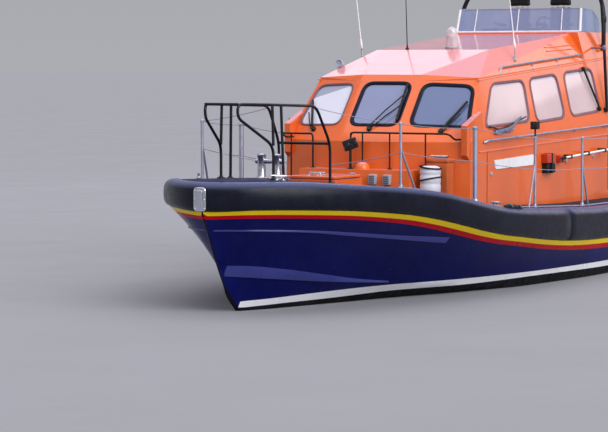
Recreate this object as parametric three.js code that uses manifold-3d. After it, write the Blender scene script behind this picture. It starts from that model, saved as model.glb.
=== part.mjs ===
// A 13.6 m fast waterjet rescue lifeboat, as an assembly of separate pieces.
// Millimetres. +X points to the bow, +Y to port and +Z up. The origin is on the
// centreline, at the waterline, half way along the boat.
// A place is given as (station, y, z). A station is the distance aft of the bow tip.

import * as THREE from "three";
import { mergeVertices } from "three/addons/utils/BufferGeometryUtils.js";
import { ConvexGeometry } from "three/addons/geometries/ConvexGeometry.js";
import Module from "manifold-3d";

const wasm = await Module();
wasm.setup();

// Driving dimensions
const LENGTH = 13600;
const HALF_BEAM = 2270;
const BOW_X = LENGTH / 2;
const GAP = 0.3; // between pieces that touch
const RUN = 6; // between pieces that move past each other

const ENTRY = 6000; // station where the sides become parallel
const FENDER_TIP = 35; // station of the fender's nose, behind the stem fitting
const FENDER_DEPTH = 200; // how far the fender stands off the hull
const TOPSIDE_INSET = 80; // topsides behind the fender's outer face
const FENDER_JOINT = 6270; // station where the bow fender meets the side fenders
const KEEL_HALF = 40;
const STEM_HALF = 12;
const DECK_CAMBER = 50;

const WALL = 50; // wheelhouse walls
const WINDSCREEN_FOOT = { station: 4511, y: 470, z: 2320 };
const FRONT_RAKE = 0.8; // aft lean of the windscreen, per unit of height
const CORNER_SWEEP = 0.299; // aft sweep of the corner windows, per unit of width
const CORNER_RAKE = 0.7955; // keeps each corner window flat
const LOWER_RAKE = 0.05;
const SIDE_HALF = 1490; // half-width of the lower wheelhouse
const SIDE_LEAN = 0.2333; // inward lean of the upper sides, per unit of height
const KNUCKLE = { station: 4940, z: 2089, rise: 0.0276 }; // where lower and upper walls meet
const EAVE = { station: 5035, z: 2925, rise: 0.0638 }; // where walls and roof meet
const AFT_WALL = 10600;
const ROOF_END = 9000; // the roof meets the flybridge
const SOLE = 750; // cabin floor
const HATCH = { fore: 2800, aft: 3500, half: 350, top: 1620 }; // foredeck hatch coaming
const TOW_TOP = 1600;
const TRUNK_TOP = 1700;
const ENGINE_HATCH_TOP = 1060;
const FLY_FLOOR = 3290;
const FLY_TOP = 3645;
const TRANSOM_LOW = 12900; // lower transom, under the aft overhang
const STERN = 13400;
const QUARTER = { station: 13300, y: 1970, radius: 300 }; // fender's turn round the quarter
const JET_Y = 520;
const JET_Z = -230;
const DUCT_R = 190;

// Heights along the boat: [station, z]
const SHEER = [
  [0, 1700], [670, 1697], [1390, 1649], [2300, 1569], [3020, 1480], [3430, 1401],
  [3870, 1313], [4360, 1227], [4890, 1177], [5480, 1145], [6490, 1100], [7570, 1061], [13600, 1040],
];
const FENDER_FOOT = [
  [0, 1317], [400, 1342], [1290, 1311], [2340, 1214], [2880, 1127], [3490, 1001],
  [3930, 908], [4420, 816], [4970, 740], [5570, 679], [6240, 631], [6940, 591], [7960, 568], [13600, 550],
];
const KEEL = [
  [90, 1305], [264, 964], [447, 595], [679, 230], [917, 3], [1300, -280],
  [2000, -520], [3000, -660], [4200, -740], [12000, -740], [13600, -700],
];
const CHINE_Z = [
  [90, 1306], [264, 966], [447, 600], [540, 550], [1207, 473], [1826, 388], [2501, 305],
  [3200, 240], [4200, 120], [5200, 30], [6500, -60], [8000, -120], [13600, -150],
];
const CHINE_Y = [
  [90, 12], [540, 14], [727, 140], [1207, 450], [1826, 685], [2501, 905], [3200, 1120],
  [4200, 1420], [5200, 1640], [6500, 1830], [8000, 1940], [13600, 1960],
];

const lookUp = (table, s) => {
  const last = table.length - 1;
  if (s <= table[0][0]) return table[0][1];
  if (s >= table[last][0]) return table[last][1];
  const k = table.findIndex((row) => row[0] > s);
  const [s0, v0] = table[k - 1];
  const [s1, v1] = table[k];
  return v0 + ((v1 - v0) * (s - s0)) / (s1 - s0);
};

const at = (station, y, z) => new THREE.Vector3(BOW_X - station, y, z);

// Finishes
const paint = (color, roughness, metalness = 0) =>
  new THREE.MeshStandardMaterial({ color, roughness, metalness });
const NAVY = paint(0x0b1b52, 0.25);
const ORANGE = paint(0xee6a2c, 0.3);
const RUBBER = paint(0x20242c, 0.55);
const STEEL = paint(0xb9bdc2, 0.25, 0.9);
const BLACK = paint(0x15161a, 0.45);
const GREY = paint(0x6f757d, 0.6);
const WHITE = paint(0xe8e8e6, 0.35);
const GLASS = new THREE.MeshStandardMaterial({
  color: 0x7d8db0, roughness: 0.05, metalness: 0, transparent: true, opacity: 0.4,
});

// Solids
const solid = (geometry) => {
  const bare = new THREE.BufferGeometry();
  bare.setAttribute("position", geometry.attributes.position.clone());
  if (geometry.index) bare.setIndex(geometry.index.clone());
  const merged = mergeVertices(bare, 1e-3);
  const build = (triVerts) => new wasm.Manifold(new wasm.Mesh({
    numProp: 3,
    vertProperties: new Float32Array(merged.attributes.position.array),
    triVerts,
  }));
  const triangles = new Uint32Array(merged.index.array);
  const body = build(triangles);
  return body.volume() > 0 ? body : build(triangles.reverse());
};

const geometryOf = (body) => {
  const mesh = body.getMesh();
  const geometry = new THREE.BufferGeometry();
  geometry.setAttribute("position", new THREE.BufferAttribute(mesh.vertProperties, 3));
  geometry.setIndex(new THREE.BufferAttribute(mesh.triVerts, 1));
  geometry.computeVertexNormals();
  return geometry;
};

const unite = (bodies) => bodies.reduce((a, b) => a.add(b));

// A closed skin through rings that all have the same number of points
const loft = (rings) => {
  const n = rings[0].length;
  const positions = rings.flat().flatMap((p) => [p.x, p.y, p.z]);
  const index = [];
  for (let r = 0; r + 1 < rings.length; r += 1) {
    for (let k = 0; k < n; k += 1) {
      const a = r * n + k;
      const b = r * n + ((k + 1) % n);
      index.push(a, a + n, b, b, a + n, b + n);
    }
  }
  const end = (rings.length - 1) * n;
  const cap = (ring, start, turned) => {
    for (const [a, b, c] of THREE.ShapeUtils.triangulateShape(flatten(ring), [])) {
      index.push(...(turned ? [start + a, start + c, start + b] : [start + a, start + b, start + c]));
    }
  };
  cap(rings[0], 0, false);
  cap(rings[rings.length - 1], end, true);
  const geometry = new THREE.BufferGeometry();
  geometry.setAttribute("position", new THREE.Float32BufferAttribute(positions, 3));
  geometry.setIndex(index);
  return solid(geometry);
};

const ringNormal = (ring) => {
  const n = new THREE.Vector3();
  ring.forEach((p, k) => {
    n.add(new THREE.Vector3().crossVectors(p, ring[(k + 1) % ring.length]));
  });
  return n.normalize();
};
const ringBasis = (ring) => {
  const n = ringNormal(ring);
  const u = Math.abs(n.z) > 0.9 ? new THREE.Vector3(1, 0, 0) : new THREE.Vector3(0, 0, 1);
  u.addScaledVector(n, -u.dot(n)).normalize();
  return [u, new THREE.Vector3().crossVectors(n, u)];
};
const flatten = (ring) => {
  const [u, v] = ringBasis(ring);
  return ring.map((p) => new THREE.Vector2(p.dot(u), p.dot(v)));
};

// A box between two stations, two half-breadths and two heights
const box = (s0, s1, y0, y1, z0, z1) => {
  const geometry = new THREE.BoxGeometry(s1 - s0, y1 - y0, z1 - z0);
  const c = at((s0 + s1) / 2, (y0 + y1) / 2, (z0 + z1) / 2);
  return solid(geometry.translate(c.x, c.y, c.z));
};

const convex = (points) => solid(new ConvexGeometry(points));

const UP = new THREE.Vector3(0, 1, 0);
const bar = (a, b, radius, sides = 6, over = 0.6) => {
  const along = b.clone().sub(a);
  const length = along.length();
  const geometry = new THREE.CylinderGeometry(radius, radius, length + 2 * radius * over, sides);
  geometry.applyQuaternion(new THREE.Quaternion().setFromUnitVectors(UP, along.normalize()));
  const c = a.clone().add(b).multiplyScalar(0.5);
  return solid(geometry.translate(c.x, c.y, c.z));
};
const run = (points, radius, sides = 6) =>
  unite(points.slice(1).map((p, k) => bar(points[k], p, radius, sides)));
const flip = (p) => new THREE.Vector3(p.x, -p.y, p.z);
const mirrored = (body) => body.mirror([0, 1, 0]);

// A flat outline with rounded corners, through points in one plane
const slab = (corners, radius, inset, from, to) => {
  const n = ringNormal(corners);
  const centre = corners.reduce((a, b) => a.clone().add(b)).multiplyScalar(1 / corners.length);
  const u = corners[1].clone().sub(corners[0]).normalize();
  const v = new THREE.Vector3().crossVectors(n, u);
  const flat = corners.map((p) => {
    const d = p.clone().sub(centre);
    return new THREE.Vector2(d.dot(u), d.dot(v));
  });
  const m = flat.length;
  const inner = flat.map((p, k) => {
    const before = p.clone().sub(flat[(k + m - 1) % m]).normalize();
    const after = flat[(k + 1) % m].clone().sub(p).normalize();
    const turn = before.cross(after);
    return p.clone().addScaledVector(after.clone().sub(before), inset / turn);
  });
  const shape = new THREE.Shape();
  inner.forEach((p, k) => {
    const before = inner[(k + m - 1) % m].clone().sub(p).normalize();
    const after = inner[(k + 1) % m].clone().sub(p).normalize();
    const a = p.clone().addScaledVector(before, radius);
    const b = p.clone().addScaledVector(after, radius);
    if (k === 0) shape.moveTo(a.x, a.y);
    else shape.lineTo(a.x, a.y);
    shape.quadraticCurveTo(p.x, p.y, b.x, b.y);
  });
  shape.closePath();
  const geometry = new THREE.ExtrudeGeometry(shape, {
    depth: to - from, bevelEnabled: false, curveSegments: 3,
  });
  geometry.translate(0, 0, from);
  geometry.applyMatrix4(new THREE.Matrix4().makeBasis(u, v, n).setPosition(centre));
  return solid(geometry);
};

const boat = new THREE.Group();
const put = (name, body, material) => {
  const mesh = new THREE.Mesh(geometryOf(body), material);
  mesh.name = name;
  boat.add(mesh);
  return body;
};

// Plan of the fender's outer face
const PLAN_POWERS = { length: 2.2, breadth: 0.56 }; // a lower breadth power is a blunter bow
const outerHalf = (s) => {
  const t = Math.max(0, 1 - (s - FENDER_TIP) / (ENTRY - FENDER_TIP));
  return HALF_BEAM * Math.pow(1 - Math.pow(t, PLAN_POWERS.length), PLAN_POWERS.breadth);
};
const PLAN_STATIONS = [
  FENDER_TIP, 40, 60, 105, 185, 330, 560, 900, 1400, 2000, 2800, 3700, 4800, 6000,
  FENDER_JOINT, 7500, 10500, 13300,
];
// Points of the plan with their inward directions, in station and half-breadth
const fenderPath = PLAN_STATIONS.map((s, k) => {
  if (k === 0) return { s, y: 0, ns: 1, ny: 0 };
  const step = Math.min(10, s - FENDER_TIP);
  const slope = (outerHalf(s + step) - outerHalf(s - step)) / (2 * step);
  const norm = Math.hypot(1, slope);
  return { s, y: outerHalf(s), ns: slope / norm, ny: -1 / norm };
});
const insetPlan = (inset) =>
  fenderPath.map((p) => [p.s + p.ns * inset, Math.max(p.y + p.ny * inset, 0)]);
const deckEdge = insetPlan(FENDER_DEPTH);
const topsideEdge = insetPlan(TOPSIDE_INSET);

// Hull: stations of the sections, more closely at the bow
const HULL_STATIONS = [
  92, 160, 236, 330, 450, 620, 917, 1300, 1850, 2500, 3200, 3870, 4360, 4890, 5480, 6500, 7570, 10500, 13300,
];
const hullSection = (s, grow) => {
  const zKeel = lookUp(KEEL, s) - grow;
  const zFoot = lookUp(FENDER_FOOT, s);
  const zDeck = lookUp(SHEER, s) + grow;
  const yDeck = Math.max(lookUp(deckEdge, s), STEM_HALF) + grow;
  const yFoot = Math.max(lookUp(topsideEdge, s), STEM_HALF) + grow;
  const zChine = Math.max(lookUp(CHINE_Z, s), zKeel + 1);
  const yChine = Math.max(lookUp(CHINE_Y, s), STEM_HALF) + grow;
  const yKeel = Math.min(KEEL_HALF, Math.max(STEM_HALF, yChine * 0.4)) + grow;
  const open = s >= FENDER_TIP + FENDER_DEPTH;
  const zEdge = open ? zDeck : zFoot + 6;
  const zTop = open ? zDeck + DECK_CAMBER * Math.min(1, yDeck / 1200) : zFoot + 8;
  const yFlare = yFoot * 0.42 + yChine * 0.58;
  const zFlare = zFoot * 0.5 + zChine * 0.5;
  const half = [
    [yKeel, zKeel], [yChine, zChine], [yFlare, zFlare], [yFoot, zFoot],
    [Math.min(yDeck, yFoot), zFoot + 4], [Math.min(yDeck, yFoot), zEdge],
  ];
  const port = half.map(([y, z]) => at(s, y, z));
  const starboard = half.map(([y, z]) => at(s, -y, z)).reverse();
  return [...port, at(s, 0, zTop), ...starboard];
};
const hullBody = (grow) => {
  const rings = HULL_STATIONS.map((s) => hullSection(s, grow));
  const last = hullSection(13300, grow).map((p) => {
    const q = p.clone();
    q.x = BOW_X - (STERN + grow);
    q.y *= 0.97;
    return q;
  });
  return loft([...rings, last]);
};

// Limits beyond the hull, for cutters
const BEYOND = { aft: 14000, side: 3000, deep: -1200, high: 2600 };
const CABIN_WELL = { fore: 4950, half: 1340 };
const ENGINE_WELL = { fore: 10720, aft: 12150, half: 1080, floor: -130 };
const REBATE = { edge: 50, z: 1000 }; // ledge that carries the engine hatch
const COAMING = 60; // thickness of the foredeck hatch's coaming
const JET_BAY = { half: 1180, top: 190 }; // open space under the stern platform
const cutFrom = (s0, s1, half, z0) => box(s0, s1, -half, half, z0, BEYOND.high);
const cabinWell = cutFrom(CABIN_WELL.fore, AFT_WALL - WALL, CABIN_WELL.half, SOLE - 150);
const engineWell = cutFrom(ENGINE_WELL.fore, ENGINE_WELL.aft, ENGINE_WELL.half, ENGINE_WELL.floor);
const hatchRebate = cutFrom(
  ENGINE_WELL.fore - REBATE.edge, ENGINE_WELL.aft + REBATE.edge, ENGINE_WELL.half + REBATE.edge, REBATE.z,
);
const foreWell = cutFrom(HATCH.fore + COAMING, HATCH.aft - COAMING, HATCH.half - COAMING, 800);
const behindTransom = cutFrom(TRANSOM_LOW, BEYOND.aft, BEYOND.side, BEYOND.deep);

// The deck moulding is all of the hull above this surface, which the fender hides
const deckSeam = (s) => Math.max(lookUp(FENDER_FOOT, s) + 8, SOLE);
const aboveSeam = (lift) => loft(
  [-100, 80, 400, 1290, 2340, 2880, 3490, 3930, 4420, 4958, BEYOND.aft].map((s) => {
    const z = deckSeam(s) + lift;
    return [
      at(s, -BEYOND.side, z), at(s, BEYOND.side, z),
      at(s, BEYOND.side, BEYOND.high), at(s, -BEYOND.side, BEYOND.high),
    ];
  }),
);

const circleRing = (s, y, z, ry, rz, count = 16, slant = 0) =>
  Array.from({ length: count }, (_, k) => {
    const a = (2 * Math.PI * k) / count;
    return at(s + slant * Math.sin(a), y + ry * Math.cos(a), z + rz * Math.sin(a));
  });
const duct = (y) => loft([
  circleRing(11200, y, -1080, 230, 190, 16, 60),
  circleRing(11750, y, -640, 215, 200, 16, 60),
  circleRing(12250, y, JET_Z - 70, 200, 195),
  circleRing(12500, y, JET_Z, DUCT_R, DUCT_R),
  circleRing(13100, y, JET_Z, DUCT_R, DUCT_R),
]);

const hullForm = hullBody(0);
const hull = hullForm
  .subtract(aboveSeam(0)).subtract(engineWell).subtract(behindTransom)
  .subtract(duct(JET_Y)).subtract(duct(-JET_Y));
put("hull", hull, NAVY);

const deck = hullForm
  .intersect(aboveSeam(GAP))
  .add(box(HATCH.fore, HATCH.aft, -HATCH.half, HATCH.half, 1300, HATCH.top))
  .subtract(cabinWell).subtract(engineWell).subtract(hatchRebate)
  .subtract(foreWell).subtract(behindTransom);
put("deck", deck, NAVY);

// Stern platform: carries the deck and the topsides aft over the waterjets
const platform = hullForm
  .intersect(cutFrom(TRANSOM_LOW + GAP, BEYOND.aft, BEYOND.side, BEYOND.deep))
  .subtract(box(
    TRANSOM_LOW - 1, BEYOND.aft, -JET_BAY.half, JET_BAY.half, BEYOND.deep, JET_BAY.top,
  ));
put("stern_platform", platform, NAVY);

const hullSkin = hullBody(GAP);
const seated = (body) => body.subtract(hullSkin);

// Fender: a D-shaped belt wrapped round the bow, along both sides and round the quarters
const FENDER_SECTION = [ // [height fraction, inset from the outer face]
  [0, 240], [0, 70], [0.22, 8], [0.5, 0], [0.76, 10], [0.93, 55], [1, 120], [1, 240],
];
const fenderRing = (p, shrink = 1) => {
  const foot = lookUp(FENDER_FOOT, p.s);
  const height = lookUp(SHEER, p.s) - 4 - foot;
  return FENDER_SECTION.map(([rise, inset]) => {
    const depth = 240 - (240 - inset) * shrink;
    const z = foot + height * (0.5 + (rise - 0.5) * shrink);
    return at(p.s + p.ns * depth, p.y + p.ny * depth, z);
  });
};
const quarterTurn = [30, 60, 90].map((degrees) => {
  const a = THREE.MathUtils.degToRad(degrees);
  return {
    s: QUARTER.station + QUARTER.radius * Math.sin(a),
    y: QUARTER.y + QUARTER.radius * Math.cos(a),
    ns: -Math.sin(a),
    ny: -Math.cos(a),
  };
});
const fenderEnd = { s: STERN + FENDER_DEPTH, y: 1420, ns: -1, ny: 0 };
const joint = fenderPath.findIndex((p) => p.s === FENDER_JOINT);
const bowHalf = loft(fenderPath.slice(0, joint + 1).map((p) => fenderRing(p)));
put("fender_bow", seated(bowHalf.add(mirrored(bowHalf))), RUBBER);
const sideStart = { ...fenderPath[joint], s: FENDER_JOINT + GAP };
const sideFender = loft([
  ...[sideStart, ...fenderPath.slice(joint + 1), ...quarterTurn, fenderEnd].map((p) => fenderRing(p)),
  fenderRing({ ...fenderEnd, y: fenderEnd.y - 60 }, 0.75),
]);
put("fender_port", seated(sideFender), RUBBER);
put("fender_starboard", seated(mirrored(sideFender)), RUBBER);

const stemFitting = convex([
  ...[-95, 95].flatMap((y) => [at(FENDER_TIP - GAP, y, 1330), at(FENDER_TIP - GAP, y, 1640)]),
  ...[-70, 70].flatMap((y) => [at(0, y, 1390), at(0, y, 1620)]),
]);
put("stem_fitting", stemFitting, STEEL);

// Bow pulpit
const TUBE = 19;
const pulpitSide = [
  [[1150, 400, 1500], [1150, 400, 2130], [540, 245, 2500], [540, 245, 2670], [1150, 385, 2655], [2280, 370, 2618],
    [2600, 400, 2110], [2600, 400, 1450]],
  [[1150, 400, 2130], [1150, 385, 2655]],
  [[1390, 410, 1500], [1370, 382, 2648]],
].map((line) => line.map((p) => at(...p)));
const pulpitHalf = unite(pulpitSide.map((line) => run(line, TUBE)));
const crossBar = (s, half, z) => bar(at(s, -half, z), at(s, half, z), TUBE);
const pulpit = pulpitHalf.add(mirrored(pulpitHalf)).add(crossBar(540, 245, 2670)).add(crossBar(2600, 400, 2110));
put("bow_pulpit", seated(pulpit), BLACK);

// Guard rails: stanchions on a strip along each deck edge
const deckPlace = (s, inboard, lift) =>
  at(s, lookUp(deckEdge, s) - inboard, lookUp(SHEER, s) + lift);
const STRIP_STATIONS = [2400, 2700, 3200, 3870, 4360, 4890, 5480, 6500, 7570, 10500, 12300];
const STANCHIONS = [ // station, height, radius, foot of the brace
  [2460, 850, 20, 2720], [3980, 1020, 34, 0], [5630, 990, 20, 5440], [7250, 1010, 20, 7470],
  [8950, 1010, 20, 9170], [10650, 1010, 20, 10870], [12200, 1010, 20, 11980],
];
const BRACE = { radius: 16, reach: 0.62 }; // reach: how far up its stanchion a brace ends
const RAIL_INSET = 75;
const guardRail = unite([
  run(STRIP_STATIONS.map((s) => deckPlace(s, RAIL_INSET, 8)), 16, 6),
  ...STANCHIONS.flatMap(([s, height, radius, foot]) => {
    const top = deckPlace(s, RAIL_INSET, height);
    const post = bar(deckPlace(s, RAIL_INSET, -30), top, radius);
    if (!foot) return [post];
    const knee = deckPlace(s, RAIL_INSET, height * BRACE.reach);
    return [post, bar(deckPlace(foot, RAIL_INSET, -20), knee, BRACE.radius)];
  }),
]);
put("guard_rail_port", seated(guardRail), STEEL);
put("guard_rail_starboard", seated(mirrored(guardRail)), STEEL);

const sternHalf = unite([
  run([at(12420, 1960, 2050), at(13280, 1880, 2050), at(13280, 0, 2050)], TUBE),
  run([at(12420, 1960, 1560), at(13280, 1880, 1560), at(13280, 0, 1560)], 14),
  ...[[12420, 1960], [13280, 1880], [13280, 640]].map(([s, y]) => bar(at(s, y, 950), at(s, y, 2050), TUBE)),
]);
put("stern_rail", seated(sternHalf.add(mirrored(sternHalf))), STEEL);

// Foredeck hatch, on the hull's coaming
const LID = 40;
put("foredeck_hatch", box(
  HATCH.fore - 10, HATCH.aft + 10, -HATCH.half - 10, HATCH.half + 10, HATCH.top + GAP, HATCH.top + LID,
), ORANGE);

const bitt = unite([
  bar(at(1700, -120, 1400), at(1700, -120, 2000), 55, 12),
  bar(at(1700, 120, 1400), at(1700, 120, 2000), 55, 12),
  bar(at(1700, -210, 1900), at(1700, 210, 1900), 32),
]);
put("bow_bitts", seated(bitt), STEEL);

const towPost = unite([
  bar(at(12750, 0, 900), at(12750, 0, 1560), 80, 16),
  bar(at(12750, -230, 1430), at(12750, 230, 1430), 38),
]);
put("tow_post", seated(towPost).subtract(box(12000, 13500, -400, 400, TOW_TOP, 2600)), STEEL);

// Wheelhouse: level outlines of the faceted body, cut by sloping planes
const SPLIT_Z = KNUCKLE.z + (WINDSCREEN_FOOT.station - KNUCKLE.station) * KNUCKLE.rise;
const outline = (z, inset = 0) => {
  const high = Math.max(z, SPLIT_Z);
  const rise = high - WINDSCREEN_FOOT.z;
  const drop = (high - z) * LOWER_RAKE;
  const side = SIDE_HALF - Math.max(0, high - 2130) * SIDE_LEAN - inset;
  const fold = WINDSCREEN_FOOT.y + rise * 0.015 - inset * 0.15;
  const centre = WINDSCREEN_FOOT.station + rise * FRONT_RAKE - drop + inset;
  const corner = WINDSCREEN_FOOT.station + (side - WINDSCREEN_FOOT.y) * CORNER_SWEEP
    + rise * CORNER_RAKE - drop + inset * 1.05;
  return [
    at(centre, -fold, z), at(centre, fold, z), at(corner, side, z),
    at(AFT_WALL + (inset ? 500 : 0), side, z), at(AFT_WALL + (inset ? 500 : 0), -side, z),
    at(corner, -side, z),
  ];
};
const wheelhouseBody = (inset) =>
  loft([700, SPLIT_Z, 2130, 3600].map((z) => outline(z, inset)));
const houseOuter = wheelhouseBody(0);
const houseWalls = houseOuter.subtract(wheelhouseBody(WALL));

// Everything above, or below, a plane that rises aft
const planeCut = ({ station, z, rise }, lift, above) => {
  const reach = 12000;
  const depth = 4000;
  const z0 = z - (station + 2000) * rise + lift;
  const z1 = z0 + (reach + 4000) * rise;
  const far = above ? depth : -depth;
  const ring = (y) => [
    at(-2000, y, z0), at(reach + 2000, y, z1), at(reach + 2000, y, z1 + far), at(-2000, y, z0 + far),
  ];
  return loft([ring(-3000), ring(3000)]);
};
const houseSkin = loft([700, SPLIT_Z, 2130, 3600].map((z) => outline(z, -GAP)));
// A fin carries each side of the lower wheelhouse forward, beside the corner windows
const FIN = { y: 1385, thickness: 90 };
const finOutline = [[4520, 2310], [4990, 2500], [5060, 2000], [4900, 1720], [4700, 1740], [4520, 1900]];
const fin = convex(finOutline.flatMap(([s, z]) =>
  [FIN.y, FIN.y + FIN.thickness].map((y) => at(s, y, z))))
  .subtract(houseSkin.subtract(planeCut(KNUCKLE, -GAP, false)))
  .subtract(wheelhouseBody(WALL));
const lowerWalls = houseWalls.subtract(planeCut(KNUCKLE, -GAP, true)).add(fin).add(mirrored(fin));
put("wheelhouse_lower", seated(lowerWalls), ORANGE);

// Windows: each outline lies in its wall. A front corner is read from the outline.
const sideY = (z) => SIDE_HALF - (z - 2130) * SIDE_LEAN;
const onSide = (s, z) => at(s, sideY(z), z);
const frontFold = (z) => ({ s: BOW_X - outline(z)[1].x, y: outline(z)[1].y });
const frontCorner = (z) => ({ s: BOW_X - outline(z)[2].x, y: outline(z)[2].y });
const onFront = (across, z) => at(frontFold(z).s, across, z);
const onCorner = (part, z) => {
  const a = frontFold(z);
  const b = frontCorner(z);
  return at(a.s + (b.s - a.s) * part, a.y + (b.y - a.y) * part, z);
};
const SIDE_PANES = [ // bottom fore and aft stations, top fore and aft stations, then z at each
  [5130, 6610, 5600, 6670, 2280, 2335, 2880, 2920],
  [6850, 7860, 6870, 7840, 2310, 2360, 2940, 3000],
  [8100, 9200, 8120, 9180, 2370, 2430, 3020, 3080],
];
const panes = {
  pane_front_centre: [onFront(-385, 2305), onFront(385, 2305), onFront(375, 2895), onFront(-375, 2895)],
};
const cornerPane = [onCorner(0.1, 2305), onCorner(0.92, 2285), onCorner(0.92, 2855), onCorner(0.1, 2885)];
const portPanes = { pane_front: cornerPane };
SIDE_PANES.forEach(([a, b, c, d, za, zb, zc, zd], k) => {
  portPanes[`pane_side_${k + 1}`] = [onSide(a, za), onSide(b, zb), onSide(d, zd), onSide(c, zc)];
});
const PANE_CORNER = 150;
let upper = houseWalls
  .subtract(planeCut(KNUCKLE, 0, false))
  .subtract(planeCut(EAVE, -GAP, true));
const glaze = (name, corners, side) => {
  const opening = slab(corners, PANE_CORNER, 0, -120, 60);
  const pane = slab(corners, PANE_CORNER, GAP, -24, -10);
  const place = side < 0 ? mirrored : (body) => body;
  upper = upper.subtract(place(opening));
  put(name, place(pane), GLASS);
};
for (const [name, corners] of Object.entries(panes)) glaze(name, corners, 1);
for (const [name, corners] of Object.entries(portPanes)) {
  glaze(`${name}_port`, corners, 1);
  glaze(`${name}_starboard`, corners, -1);
}
put("wheelhouse_upper", upper, ORANGE);

// Aft bulkhead, with the doorway
const DOORWAY = { y: 350, foot: 1180, head: 2940 };
const HINGE = { station: AFT_WALL + 26, y: -400 };
const lowHinge = 1420;
const highHinge = 2700;
const bulkheadBlank = box(AFT_WALL - WALL, AFT_WALL, -2000, 2000, 700, 3600);
const hingeLugs = [lowHinge, highHinge].map((z) =>
  box(AFT_WALL - 1, AFT_WALL + 40, HINGE.y - 14, HINGE.y + 14, z - 30, z - GAP));
const bulkhead = seated(bulkheadBlank
  .intersect(wheelhouseBody(WALL + GAP))
  .subtract(planeCut(EAVE, -GAP, true))
  .subtract(box(10000, 11000, -DOORWAY.y, DOORWAY.y, DOORWAY.foot, DOORWAY.head)))
  .add(unite(hingeLugs));
put("aft_bulkhead", bulkhead, ORANGE);
const doorLeaf = box(AFT_WALL + RUN, AFT_WALL + 46, -380, 380, DOORWAY.foot - 30, DOORWAY.head + 30)
  .subtract(box(10000, 11000, -230, 230, 2050, 2700));
const knuckles = [lowHinge, highHinge].map((z) => unite([
  bar(at(HINGE.station, HINGE.y, z), at(HINGE.station, HINGE.y, z + 80), 14, 8, 0),
  box(HINGE.station - 8, HINGE.station + 8, HINGE.y, -370, z, z + 80),
]));
put("wheelhouse_door", doorLeaf.add(unite(knuckles)), ORANGE);
put("door_pane", box(AFT_WALL + 20, AFT_WALL + 32, -230 + GAP, 230 - GAP, 2050 + GAP, 2700 - GAP), GLASS);

// Roof shell
const eaveZ = (s) => EAVE.z + (s - EAVE.station) * EAVE.rise;
const eaveSide = (s, lift) => at(s, sideY(eaveZ(s)), eaveZ(s) + lift);
const FASCIA = 30;
const FRONT_FASCIA = 90; // the eave is deeper over the centre window
const roofForm = (drop, aft) => {
  const fold = frontFold(eaveZ(5030));
  const corner = frontCorner(eaveZ(5270));
  const low = [
    at(fold.s + drop, fold.y - drop * 0.2, eaveZ(fold.s)),
    at(corner.s + drop, corner.y - drop, eaveZ(corner.s)),
    at(aft, sideY(eaveZ(aft)) - drop, eaveZ(aft)),
  ];
  const ledge = low.map((p) => p.clone().setZ(p.z + (drop > 0 ? 1 : FASCIA - drop)));
  if (drop <= 0) {
    ledge[0].x -= FRONT_FASCIA * FRONT_RAKE;
    ledge[0].z += FRONT_FASCIA - FASCIA;
  }
  const top = [at(6300 + drop * 0.5, 930 - drop * 0.5, 3370 - drop), at(aft, 980 - drop * 0.5, 3625 - drop)];
  return convex([...low, ...ledge, ...top].flatMap((p) => [p, flip(p)]));
};
const ROOF_SKIN = 60;
const roofOuter = roofForm(0, ROOF_END);
const roofInner = roofForm(ROOF_SKIN, ROOF_END - ROOF_SKIN);
const LAMP = { station: 6500, y: 220, root: 3330, post: 3510, low: 3525, top: 3705, radius: 85 };
const lampAt = (z) => at(LAMP.station, LAMP.y, z);
const lampPost = bar(lampAt(LAMP.root), lampAt(LAMP.post), 30, 8, 0);
put("wheelhouse_roof", roofOuter
  .subtract(roofInner.add(roofInner.translate([0, 0, -20])))
  .add(lampPost), ORANGE);

// Flybridge: a tub on the after roof, open aft
const tubLow = [ROOF_END + GAP, AFT_WALL].map((s) => eaveSide(s, 0));
const tubLedge = [ROOF_END + GAP, AFT_WALL].map((s) => eaveSide(s, FASCIA));
const tubTop = [at(ROOF_END + GAP, 1120, FLY_TOP), at(AFT_WALL, 1120, FLY_TOP)];
// The mast's feet are pinned to a bracket on each side of the tub
const MAST = { station: 9720, y: 1245, z: 3400, radius: 35 };
const mastBracket = box(
  MAST.station - 60, MAST.station + 60, 1080, MAST.y - MAST.radius - GAP, MAST.z - 60, MAST.z + 60,
);
const tub = convex([...tubLow, ...tubLedge, ...tubTop].flatMap((p) => [p, flip(p)]))
  .subtract(box(9310, 11000, -1000, 1000, FLY_FLOOR, 4000))
  .add(mastBracket).add(mirrored(mastBracket));
put("flybridge", tub, ORANGE);

const SCREEN = 12;
const SCREEN_FOOT = FLY_TOP + GAP;
const screenFront = convex([-1, 1].flatMap((side) => [
  at(9200, side * 1086, SCREEN_FOOT), at(9200 + SCREEN, side * 1086, SCREEN_FOOT),
  at(9290, side * 1060, 4030), at(9290 + SCREEN, side * 1060, 4030),
]));
const screenSide = convex([
  [9200, 1086, SCREEN_FOOT], [9290, 1060, 4030], [9700, 1062, 4000], [9920, 1071, 3860], [9950, 1086, SCREEN_FOOT],
].flatMap(([s, y, z]) => [at(s, y, z), at(s, y - SCREEN, z)]));
put("flybridge_windscreen", screenFront.add(screenSide).add(mirrored(screenSide)), GLASS);

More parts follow.
